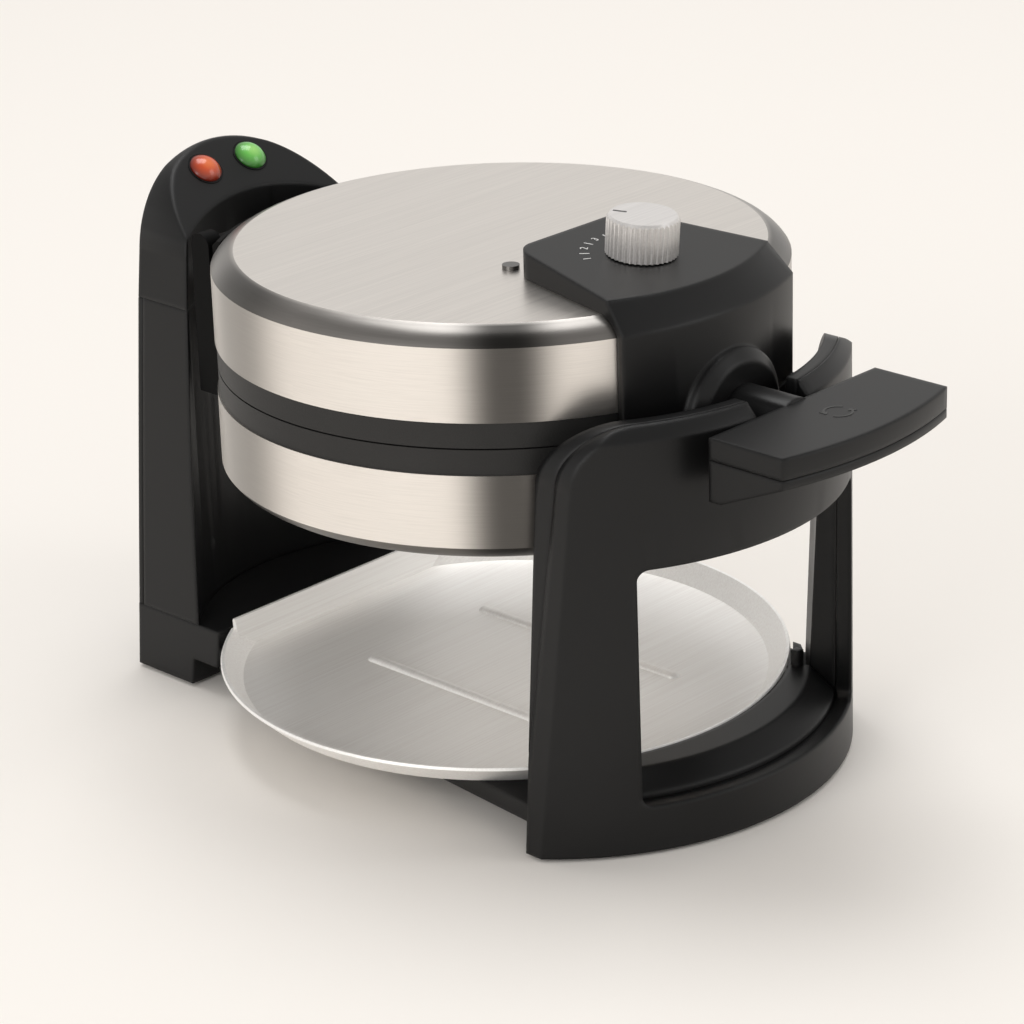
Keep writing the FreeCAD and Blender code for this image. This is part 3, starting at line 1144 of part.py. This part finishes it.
for side, x in both("tray_rib_x"):
    bar = rod("tray_rib_" + side, "y", "tray_rib_r", fore("tray_rib_front"), aft("tray_rib_rear"), x, RIB_Z)
    tips = [
        ball("tray_rib_%s_%s" % (end, side), "tray_rib_r", x, y, RIB_Z)
        for end, y in (("front", fore("tray_rib_front")), ("rear", aft("tray_rib_rear")))
    ]
    top = block("tray_rib_top_" + side, (x + " - 5", x + " + 5"), (fore("reach"), aft("reach")),
                (TRAY_Z + " + 0.2", TRAY_Z + " + 10"))
    ribs.append(shared("tray_rib_half_" + side, joined("tray_rib_bar_" + side, bar, *tips), top))
piece("drip_tray", joined("drip_tray_solid", cut("tray_cut", tray_dish, tray_behind), tray_lip, *ribs))

# Checks and files
doc.recompute()
faults = []
for thing in doc.Objects:
    if "Invalid" in thing.State or "Error" in thing.State:
        faults.append("%s %s" % (thing.Name, thing.State))
for label, thing in PIECES:
    thing.Label = label
    shape = thing.Shape
    if shape.isNull() or not shape.isValid() or not shape.Solids:
        faults.append("%s has no valid solid" % label)
if faults:
    raise RuntimeError("; ".join(faults))
for label, thing in PIECES:
    thing.Shape.exportStep("parts/%s.step" % label)
    box = thing.Shape.BoundBox
    ends = (box.XMin, box.XMax, box.YMin, box.YMax, box.ZMin, box.ZMax)
    print(label, len(thing.Shape.Solids), " ".join("%.1f" % end for end in ends))
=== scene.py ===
import json
import math
import bpy
from mathutils import Matrix, Vector


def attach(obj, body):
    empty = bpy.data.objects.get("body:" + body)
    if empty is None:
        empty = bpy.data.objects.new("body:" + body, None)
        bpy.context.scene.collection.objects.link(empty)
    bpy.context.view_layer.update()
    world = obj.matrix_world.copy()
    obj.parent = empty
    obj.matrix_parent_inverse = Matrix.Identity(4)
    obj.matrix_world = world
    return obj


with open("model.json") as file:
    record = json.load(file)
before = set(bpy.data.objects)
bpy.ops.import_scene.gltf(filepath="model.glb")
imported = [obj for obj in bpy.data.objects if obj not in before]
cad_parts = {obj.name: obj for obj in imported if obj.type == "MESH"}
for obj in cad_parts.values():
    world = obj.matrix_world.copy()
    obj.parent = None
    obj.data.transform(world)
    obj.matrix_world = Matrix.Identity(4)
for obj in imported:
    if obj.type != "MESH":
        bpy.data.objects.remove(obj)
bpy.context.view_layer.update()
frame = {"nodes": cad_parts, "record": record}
nodes = frame["nodes"]

# Places shared with the frame, in metres
DRUM_Y = 0.0074
DRUM_Z = 0.1505
DIAL = Vector((0.0, DRUM_Y - 0.070, DRUM_Z + 0.051))
DIAL_TILT = math.radians(4.6)
KNOB_TOP = 0.015
FACET_SLOPE = math.radians(38.66)
LENS_X = 0.012
LENS_R = 0.0066
LENS_UP = 0.014
FACET_FOOT = Vector((0.0, DRUM_Y + 0.139, DRUM_Z + 0.037))
LENS_MID = FACET_FOOT + Vector((0.0, LENS_UP * math.cos(FACET_SLOPE), LENS_UP * math.sin(FACET_SLOPE)))
GRIP_TOP = DRUM_Z + 0.0106

# Grain of the materials: stretch of brush lines, spread of roughness, height of bumps in metres
SHEET_LINES = (14.0, 1500.0, 1500.0)
FLAT_LINES = (16.0, 1400.0, 1400.0)
WALL_LINES_ROUND = 5.0
WALL_LINES_UP = 2200.0
SMOOTHER = 0.05
ROUGHER = 0.07
PLASTIC_GRAIN = 1400.0
PLASTIC_SHINE = 0.3
EDGE_SAMPLES = 6
BUMP_HEIGHT = 0.0001
LENS_GLOW = 0.4


# Material helpers
def new_material(name):
    """An empty node material with its principled shader."""
    material = bpy.data.materials.new(name)
    material.use_nodes = True
    return material, material.node_tree, material.node_tree.nodes["Principled BSDF"]


def add(tree, kind, **values):
    """A shader node with its plain input values set."""
    node = tree.nodes.new(kind)
    for key, value in values.items():
        node.inputs[key.replace("_", " ")].default_value = value
    return node


def noise(tree, scale, detail=2.0, stretch=(1.0, 1.0, 1.0)):
    """Noise in the object's own coordinates, stretched along its axes."""
    place = tree.nodes.new("ShaderNodeTexCoord")
    mapping = tree.nodes.new("ShaderNodeMapping")
    mapping.inputs["Scale"].default_value = stretch
    tree.links.new(place.outputs["Object"], mapping.inputs["Vector"])
    texture = add(tree, "ShaderNodeTexNoise", Scale=scale, Detail=detail)
    tree.links.new(mapping.outputs["Vector"], texture.inputs["Vector"])
    return texture


def ramp(tree, source, low, high, start=0.0, end=1.0):
    """A colour ramp between two colours."""
    node = tree.nodes.new("ShaderNodeValToRGB")
    node.color_ramp.elements[0].position = start
    node.color_ramp.elements[0].color = (*low, 1.0)
    node.color_ramp.elements[1].position = end
    node.color_ramp.elements[1].color = (*high, 1.0)
    tree.links.new(source, node.inputs["Fac"])
    return node


def bump(tree, shader, source, strength, distance):
    """A bump from a grey value."""
    node = add(tree, "ShaderNodeBump", Strength=strength, Distance=distance)
    tree.links.new(source, node.inputs["Height"])
    tree.links.new(node.outputs["Normal"], shader.inputs["Normal"])
    return node


def spread(tree, source, low, high):
    """A grey value moved into a range."""
    node = tree.nodes.new("ShaderNodeMapRange")
    node.inputs["To Min"].default_value = low
    node.inputs["To Max"].default_value = high
    tree.links.new(source, node.inputs["Value"])
    return node.outputs["Result"]


def plastic(name, dark, light, rough, grain, shine=PLASTIC_SHINE, edge=0.0):
    """Moulded plastic with a fine grain, a slight unevenness of tone and edges that shade as rounded."""
    material, tree, shader = new_material(name)
    cloud = noise(tree, 9.0, 3.0)
    tone = ramp(tree, cloud.outputs["Fac"], dark, light, 0.3, 0.7)
    tree.links.new(tone.outputs["Color"], shader.inputs["Base Color"])
    fine = noise(tree, PLASTIC_GRAIN, 2.0)
    uneven = spread(tree, cloud.outputs["Fac"], rough - SMOOTHER, rough + SMOOTHER)
    tree.links.new(uneven, shader.inputs["Roughness"])
    skin = bump(tree, shader, fine.outputs["Fac"], grain, BUMP_HEIGHT)
    if edge:
        soft = tree.nodes.new("ShaderNodeBevel")
        soft.samples = EDGE_SAMPLES
        soft.inputs["Radius"].default_value = edge
        tree.links.new(soft.outputs["Normal"], skin.inputs["Normal"])
    shader.inputs["Specular IOR Level"].default_value = shine
    return material


def math_node(tree, operation, first, second=None):
    """A maths node; each input is a socket or a number."""
    node = tree.nodes.new("ShaderNodeMath")
    node.operation = operation
    for slot, value in zip(node.inputs, (first, second)):
        if value is None:
            continue
        if isinstance(value, (int, float)):
            slot.default_value = value
        else:
            tree.links.new(value, slot)
    return node.outputs["Value"]


def brushed(name, colour, rough, metal=1.0):
    """Sheet steel with fine straight brush lines along X."""
    material, tree, shader = new_material(name)
    shader.inputs["Metallic"].default_value = metal
    hair = noise(tree, 1.0, 4.0, SHEET_LINES)
    low = tuple(part * 0.93 for part in colour)
    high = tuple(min(1.0, part * 1.04) for part in colour)
    tone = ramp(tree, hair.outputs["Fac"], low, high, 0.3, 0.7)
    tree.links.new(tone.outputs["Color"], shader.inputs["Base Color"])
    uneven = spread(tree, hair.outputs["Fac"], rough - SMOOTHER, rough + ROUGHER)
    tree.links.new(uneven, shader.inputs["Roughness"])
    bump(tree, shader, hair.outputs["Fac"], 0.06, BUMP_HEIGHT)
    return material


# Painted reflection on the drum wall, a dark band for each dark studio panel it stands in for: degrees round
# the drum axis, half width in degrees and depth
PAINTED_REFLECTION_BANDS = (
    (-135.5, 7.5, 0.88),
    (160.0, 13.0, 0.62),
    (-52.0, 12.0, 0.5),
    (58.0, 16.0, 0.5),
)

# How much painted shade darkens the bevel, the painted shade tone of the flat top, and how sharp the sides of
# a painted reflection band are
BEVEL_PAINTED_SHADE = 0.68
FLAT_PAINTED_SHADE = 0.93
BAND_EDGE = 1.6


def drum_steel(name, colour, rough):
    """Shell steel: lines run round the wall, and straight over the flat; the wall's colour carries a painted
    reflection of dark studio panels, and the flat top and the bevel carry painted shade.
    """
    material, tree, shader = new_material(name)
    shader.inputs["Metallic"].default_value = 1.0
    place = tree.nodes.new("ShaderNodeTexCoord")
    shift = tree.nodes.new("ShaderNodeMapping")
    shift.inputs["Location"].default_value = (0.0, -DRUM_Y, 0.0)
    tree.links.new(place.outputs["Object"], shift.inputs["Vector"])
    parts = tree.nodes.new("ShaderNodeSeparateXYZ")
    tree.links.new(shift.outputs["Vector"], parts.inputs["Vector"])
    angle = math_node(tree, "ARCTAN2", parts.outputs["Y"], parts.outputs["X"])
    facing = tree.nodes.new("ShaderNodeSeparateXYZ")
    tree.links.new(place.outputs["Normal"], facing.inputs["Vector"])
    upright = math_node(tree, "ABSOLUTE", facing.outputs["Z"])
    flat = tree.nodes.new("ShaderNodeMapRange")
    flat.interpolation_type = "SMOOTHSTEP"
    flat.inputs["From Min"].default_value = 0.93
    flat.inputs["From Max"].default_value = 0.985
    tree.links.new(upright, flat.inputs["Value"])
    round_lines = tree.nodes.new("ShaderNodeCombineXYZ")
    tree.links.new(math_node(tree, "MULTIPLY", angle, WALL_LINES_ROUND), round_lines.inputs["X"])
    tree.links.new(math_node(tree, "MULTIPLY", parts.outputs["Z"], WALL_LINES_UP), round_lines.inputs["Z"])
    wall_hair = add(tree, "ShaderNodeTexNoise", Scale=1.0, Detail=4.0, Roughness=0.6)
    tree.links.new(round_lines.outputs["Vector"], wall_hair.inputs["Vector"])
    flat_hair = noise(tree, 1.0, 4.0, FLAT_LINES)
    hair = tree.nodes.new("ShaderNodeMix")
    tree.links.new(flat.outputs["Result"], hair.inputs["Factor"])
    tree.links.new(wall_hair.outputs["Fac"], hair.inputs["A"])
    tree.links.new(flat_hair.outputs["Fac"], hair.inputs["B"])
    painted_reflection = None
    # Painted reflection: each dark band darkens the wall's colour where a dark studio panel would reflect
    for middle, half, depth in PAINTED_REFLECTION_BANDS:
        away = math_node(tree, "SUBTRACT", angle, math.radians(middle))
        half_sine = math_node(tree, "SINE", math_node(tree, "MULTIPLY", away, 0.5))
        across = math_node(tree, "DIVIDE", half_sine, math.sin(math.radians(half) / 2.0))
        square = math_node(tree, "MULTIPLY", across, across)
        fall = math_node(tree, "POWER", 0.5, math_node(tree, "POWER", square, BAND_EDGE))
        left = math_node(tree, "SUBTRACT", 1.0, math_node(tree, "MULTIPLY", fall, depth))
        painted_reflection = left if painted_reflection is None else math_node(tree, "MULTIPLY", painted_reflection, left)
    # The wall takes the painted reflection, the flat top a fixed darker tone as painted shade
    painted_light_tone = tree.nodes.new("ShaderNodeMix")
    tree.links.new(flat.outputs["Result"], painted_light_tone.inputs["Factor"])
    tree.links.new(painted_reflection, painted_light_tone.inputs["A"])
    painted_light_tone.inputs["B"].default_value = FLAT_PAINTED_SHADE
    grain = spread(tree, hair.outputs["Result"], 0.86, 1.1)
    # Painted shade on the bevel between the wall and the flat top
    edge_in = tree.nodes.new("ShaderNodeMapRange")
    edge_in.interpolation_type = "SMOOTHSTEP"
    edge_in.inputs["From Min"].default_value = 0.2
    edge_in.inputs["From Max"].default_value = 0.5
    tree.links.new(upright, edge_in.inputs["Value"])
    edge_out = math_node(tree, "SUBTRACT", 1.0, flat.outputs["Result"])
    bevel_shade_mask = math_node(tree, "MULTIPLY", edge_in.outputs["Result"], edge_out)
    bevel_shade_tone = math_node(tree, "SUBTRACT", 1.0, math_node(tree, "MULTIPLY", bevel_shade_mask, BEVEL_PAINTED_SHADE))
    painted_light_and_grain = math_node(tree, "MULTIPLY", painted_light_tone.outputs["Result"], grain)
    level = math_node(tree, "MULTIPLY", painted_light_and_grain, bevel_shade_tone)
    tone = ramp(tree, level, (0.0, 0.0, 0.0), colour)
    tree.links.new(tone.outputs["Color"], shader.inputs["Base Color"])
    uneven = spread(tree, hair.outputs["Result"], rough - SMOOTHER, rough + ROUGHER)
    tree.links.new(uneven, shader.inputs["Roughness"])
    bump(tree, shader, hair.outputs["Result"], 0.07, BUMP_HEIGHT)
    return material


def lens_material(name, centre, edge, middle, heart):
    """A lit tinted lens, bright in the middle and dark at its rim, by distance from its centre."""
    material, tree, shader = new_material(name)
    place = tree.nodes.new("ShaderNodeTexCoord")
    away = tree.nodes.new("ShaderNodeVectorMath")
    away.operation = "DISTANCE"
    away.inputs[1].default_value = centre
    tree.links.new(place.outputs["Object"], away.inputs[0])
    reach = math_node(tree, "DIVIDE", away.outputs["Value"], LENS_R)
    tone = ramp(tree, reach, heart, edge, 0.3, 1.05)
    tone.color_ramp.elements.new(0.72).color = (*middle, 1.0)
    tree.links.new(tone.outputs["Color"], shader.inputs["Base Color"])
    tree.links.new(tone.outputs["Color"], shader.inputs["Emission Color"])
    shader.inputs["Emission Strength"].default_value = LENS_GLOW
    shader.inputs["Roughness"].default_value = 0.25
    shader.inputs["Coat Weight"].default_value = 0.3
    return material


black = plastic("black_plastic", (0.0035, 0.0035, 0.0037), (0.0065, 0.0065, 0.0067), 0.38, 0.1, edge=0.0022)
hinge_black = plastic("hinge_black", (0.002, 0.002, 0.002), (0.003, 0.003, 0.003), 0.6, 0.1, 0.08)
rim_black = plastic("rim_black", (0.008, 0.008, 0.008), (0.022, 0.021, 0.02), 0.5, 0.6)
rubber = plastic("rubber", (0.015, 0.015, 0.015), (0.022, 0.022, 0.022), 0.75, 0.3)
silver = brushed("silver_knob", (0.76, 0.74, 0.725), 0.36, 0.8)
cream = plastic("bearing", (0.6, 0.57, 0.5), (0.66, 0.63, 0.56), 0.5, 0.1)
green_board = plastic("board", (0.03, 0.12, 0.04), (0.05, 0.16, 0.06), 0.45, 0.1)
coat = plastic("nonstick", (0.022, 0.021, 0.02), (0.034, 0.033, 0.032), 0.42, 0.25)
shell_steel = drum_steel("shell_steel", (0.83, 0.79, 0.745), 0.31)
tray_steel = brushed("tray_steel", (0.98, 0.955, 0.93), 0.48, 0.45)
plain_steel = brushed("plain_steel", (0.5, 0.49, 0.48), 0.36)
dark_steel = brushed("dark_steel", (0.16, 0.155, 0.15), 0.34)
white_ink = plastic("white_ink", (0.7, 0.7, 0.69), (0.78, 0.78, 0.77), 0.5, 0.02)
grey_ink = plastic("grey_ink", (0.06, 0.06, 0.06), (0.08, 0.08, 0.08), 0.5, 0.02)
gloss_black = plastic("gloss_black", (0.003, 0.003, 0.003), (0.005, 0.005, 0.005), 0.16, 0.02)
lens_aside = Vector((LENS_X, 0.0, 0.0))
red = lens_material("red_lens", LENS_MID - lens_aside, (0.1, 0.008, 0.003), (0.42, 0.055, 0.014),
                    (0.9, 0.3, 0.09))
green = lens_material("green_lens", LENS_MID + lens_aside, (0.02, 0.1, 0.012), (0.1, 0.36, 0.06),
                      (0.55, 0.8, 0.28))
LOOKS = {
    "brushed_shell": shell_steel,
    "black_plastic": black,
    "black_rim": rim_black,
    "tray_steel": tray_steel,
    "nonstick_plate": coat,
    "plain_steel": plain_steel,
    "heater_tube": plain_steel,
    "reflector_sheet": tray_steel,
    "red_lens": red,
    "green_lens": green,
    "lamp_glass": cream,
    "board": green_board,
    "bearing": cream,
    "foot_rubber": rubber,
    "wire_sleeve": cream,
    "silver_knob": silver,
}
for entry in frame["record"]["subparts"]:
    item = nodes[entry["node"]]
    item.data.materials.clear()
    item.data.materials.append(LOOKS[entry["material_slot"]])
for name in ("lid_screws", "lower_shell_screws"):
    nodes[name].data.materials[0] = dark_steel
for name in ("hinge_bracket", "hinge_cover"):
    nodes[name].data.materials[0] = hinge_black

# Rounded edges on the moulded pieces: radius of each in metres
WELD_REACH = 0.00002
ROUND_STEPS = 3
ROUND_ANGLE = math.radians(32.0)
ROUND = {
    "front_arch": 0.0022,
    "arch_liner": 0.0015,
    "base": 0.0015,
    "tower_shell": 0.001,
    "tower_cap": 0.0018,
    "tower_rear_cover": 0.001,
    "control_housing": 0.002,
    "lower_front_shroud": 0.0012,
    "upper_handle": 0.002,
    "lower_handle": 0.002,
    "hinge_cover": 0.001,
    "hinge_bracket": 0.001,
}
for name, width in ROUND.items():
    item = nodes[name]
    weld = item.modifiers.new("weld", "WELD")
    weld.merge_threshold = WELD_REACH
    bevel = item.modifiers.new("round", "BEVEL")
    bevel.width = width
    bevel.segments = ROUND_STEPS
    bevel.limit_method = "ANGLE"
    bevel.angle_limit = ROUND_ANGLE


# Printed and moulded marks
def flat_piece(name, faces, thick, matrix, material, body):
    """A thin plate from flat faces of (x, y) points, standing on its matrix's plane and riding on a body."""
    points = []
    sides = []
    for face in faces:
        first = len(points)
        count = len(face)
        points.extend((x, y, 0.0) for x, y in face)
        points.extend((x, y, thick) for x, y in face)
        sides.append(tuple(range(first + count, first + 2 * count)))
        sides.append(tuple(reversed(range(first, first + count))))
        for step in range(count):
            after = (step + 1) % count
            sides.append((first + step, first + after, first + count + after, first + count + step))
    mesh = bpy.data.meshes.new(name)
    mesh.from_pydata([matrix @ Vector(point) for point in points], [], sides)
    mesh.materials.append(material)
    piece = bpy.data.objects.new(name, mesh)
    bpy.context.collection.objects.link(piece)
    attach(piece, body)
    return piece


def polar(radius, angle):
    """The flat point at a radius and an angle in radians."""
    return (radius * math.cos(angle), radius * math.sin(angle))


def bar_face(start, end, width):
    """The four corners of a straight bar."""
    along = Vector((end[0] - start[0], end[1] - start[1])).normalized() * (width / 2.0)
    return (
        (start[0] + along.y, start[1] - along.x),
        (end[0] + along.y, end[1] - along.x),
        (end[0] - along.y, end[1] + along.x),
        (start[0] - along.y, start[1] + along.x),
    )


def ring_faces(inner, outer, start, end, steps):
    """Four-sided faces along an arc, angles in degrees."""
    angles = [math.radians(start + (end - start) * step / steps) for step in range(steps + 1)]
    return [
        (polar(inner, low), polar(outer, low), polar(outer, high), polar(inner, high))
        for low, high in zip(angles[:-1], angles[1:])
    ]


# Sizes of the marks in metres, angles in degrees
INK = 0.00006
NUMBER_COUNT = 5
NUMBER_R = 0.0207
NUMBER_SIZE = 0.0042
FIRST_ANGLE = 153.0
ANGLE_STEP = 29.0
TICK_REACH = (0.0188, 0.0224)
TICK_WIDTH = 0.0005
POINTER_ANGLE = 118.0
POINTER_REACH = (0.0062, 0.0112)
POINTER_WIDTH = 0.0011
ARROW_PLACE = (0.002, DRUM_Y - 0.158, GRIP_TOP)
ARROW_THICK = 0.00012
ARROW_STARTS = (20.0, 200.0)
ARROW_SWEEP = 120.0
ARROW_STEPS = 16
ARROW_RING = (0.0046, 0.0055)
ARROW_HEAD = (0.0034, 0.0067)
ARROW_TIP_R = 0.0051
ARROW_TIP_SWEEP = 148.0
SEAT_IN = 0.0001
SEAT_OUT = 0.0009
SEAT_THICK = 0.0003
SEAT_STEPS = 48
dial_plane = Matrix.Translation(DIAL) @ Matrix.Rotation(DIAL_TILT, 4, "X")
tick_faces = []
for index in range(NUMBER_COUNT):
    angle = math.radians(FIRST_ANGLE - ANGLE_STEP * index)
    letters = bpy.data.curves.new("dial_number_%d" % (index + 1), "FONT")
    letters.body = str(index + 1)
    letters.size = NUMBER_SIZE
    letters.align_x = "CENTER"
    letters.align_y = "CENTER"
    letters.extrude = INK
    letters.materials.append(white_ink)
    number = bpy.data.objects.new(letters.name, letters)
    bpy.context.collection.objects.link(number)
    spot = Matrix.Translation((*polar(NUMBER_R, angle), INK))
    number.matrix_world = dial_plane @ spot @ Matrix.Rotation(angle - math.pi / 2.0, 4, "Z")
    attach(number, "upper_half")
    between = angle - math.radians(ANGLE_STEP / 2.0)
    if index < NUMBER_COUNT - 1:
        ends = [polar(radius, between) for radius in TICK_REACH]
        tick_faces.append(bar_face(ends[0], ends[1], TICK_WIDTH))
flat_piece("dial_ticks", tick_faces, INK, dial_plane, white_ink, "upper_half")
knob_plane = dial_plane @ Matrix.Translation((0.0, 0.0, KNOB_TOP))
pointer_ends = [polar(radius, math.radians(POINTER_ANGLE)) for radius in POINTER_REACH]
pointer_faces = [bar_face(pointer_ends[0], pointer_ends[1], POINTER_WIDTH)]
flat_piece("knob_pointer", pointer_faces, INK, knob_plane, grey_ink, "dial")
arrow_plane = Matrix.Translation(ARROW_PLACE)
arrow_faces = []
for start_angle in ARROW_STARTS:
    arrow_faces.extend(ring_faces(*ARROW_RING, start_angle, start_angle + ARROW_SWEEP, ARROW_STEPS))
    tip = math.radians(start_angle + ARROW_TIP_SWEEP)
    root = math.radians(start_angle + ARROW_SWEEP)
    arrow_faces.append((polar(ARROW_HEAD[0], root), polar(ARROW_HEAD[1], root), polar(ARROW_TIP_R, tip)))
flat_piece("flip_arrow", arrow_faces, ARROW_THICK, arrow_plane, gloss_black, "upper_half")
facet_plane = Matrix.Translation(LENS_MID) @ Matrix.Rotation(FACET_SLOPE, 4, "X")
for side, name in ((-1.0, "power_seat"), (1.0, "ready_seat")):
    seat_plane = facet_plane @ Matrix.Translation((side * LENS_X, 0.0, 0.0))
    seat_faces = ring_faces(LENS_R + SEAT_IN, LENS_R + SEAT_OUT, 0.0, 360.0, SEAT_STEPS)
    flat_piece(name, seat_faces, SEAT_THICK, seat_plane, gloss_black, "stand")


# Studio: what the lights aim at, and the size of the floor, in metres
LIGHT_TARGET = Vector((0.0, 0.0, 0.12))
FLOOR_SIZE = 12.0


def studio_light(name, place, size, power):
    """A soft square light aimed at the object: its side in metres and its power in watts."""
    data = bpy.data.lights.new(name, "AREA")
    data.size = size
    data.energy = power
    lamp = bpy.data.objects.new(name, data)
    bpy.context.collection.objects.link(lamp)
    lamp.location = place
    lamp.rotation_euler = (LIGHT_TARGET - Vector(place)).to_track_quat("-Z", "Y").to_euler()
    return lamp


bpy.ops.mesh.primitive_plane_add(size=FLOOR_SIZE, location=(0.0, 0.0, 0.0))
floor = bpy.context.object
floor_material, floor_tree, floor_shader = new_material("floor")
floor_shader.inputs["Base Color"].default_value = (0.925, 0.888, 0.842, 1.0)
floor_shader.inputs["Roughness"].default_value = 0.9
floor_shader.inputs["Specular IOR Level"].default_value = 0.1
floor.data.materials.append(floor_material)
studio_light("key", (0.75, 0.75, 3.3), 2.0, 55.0)
studio_light("side", (-1.7, -0.2, 0.8), 1.0, 9.0)
studio_light("front", (0.9, -1.6, 1.0), 0.8, 4.0)
world = bpy.data.worlds.new("studio")
bpy.context.scene.world = world
world.use_nodes = True
sky_tree = world.node_tree
sky = sky_tree.nodes["Background"]
sky_place = sky_tree.nodes.new("ShaderNodeTexCoord")
sky_parts = sky_tree.nodes.new("ShaderNodeSeparateXYZ")
sky_tree.links.new(sky_place.outputs["Generated"], sky_parts.inputs["Vector"])
sky_tone = ramp(sky_tree, sky_parts.outputs["Z"], (0.97, 0.95, 0.925), (0.42, 0.41, 0.4), 0.1, 0.85)
sky_tree.links.new(sky_tone.outputs["Color"], sky.inputs["Color"])
sky.inputs["Strength"].default_value = 0.95

# Camera of the photograph: metres, millimetres of lens and degrees
CAMERA_PLACE = (-0.88271, DRUM_Y - 0.85243, DRUM_Z + 0.42613)
CAMERA_LENS = 121.2
CAMERA_SENSOR = 36.0
CAMERA_HEADING = -46.06
CAMERA_DIP = 21.88
CAMERA_ROLL = -1.72
camera_data = bpy.data.cameras.new("camera")
camera = bpy.data.objects.new("camera", camera_data)
bpy.context.collection.objects.link(camera)
bpy.context.scene.camera = camera
camera_data.sensor_width = CAMERA_SENSOR
camera_data.lens = CAMERA_LENS
spot = Matrix.Translation(CAMERA_PLACE)
heading = Matrix.Rotation(math.radians(CAMERA_HEADING), 4, "Z")
tilt = Matrix.Rotation(math.radians(90.0 - CAMERA_DIP), 4, "X")
roll = Matrix.Rotation(math.radians(CAMERA_ROLL), 4, "Z")
camera.matrix_world = spot @ heading @ tilt @ roll

bpy.context.scene.view_settings.view_transform = "Standard"
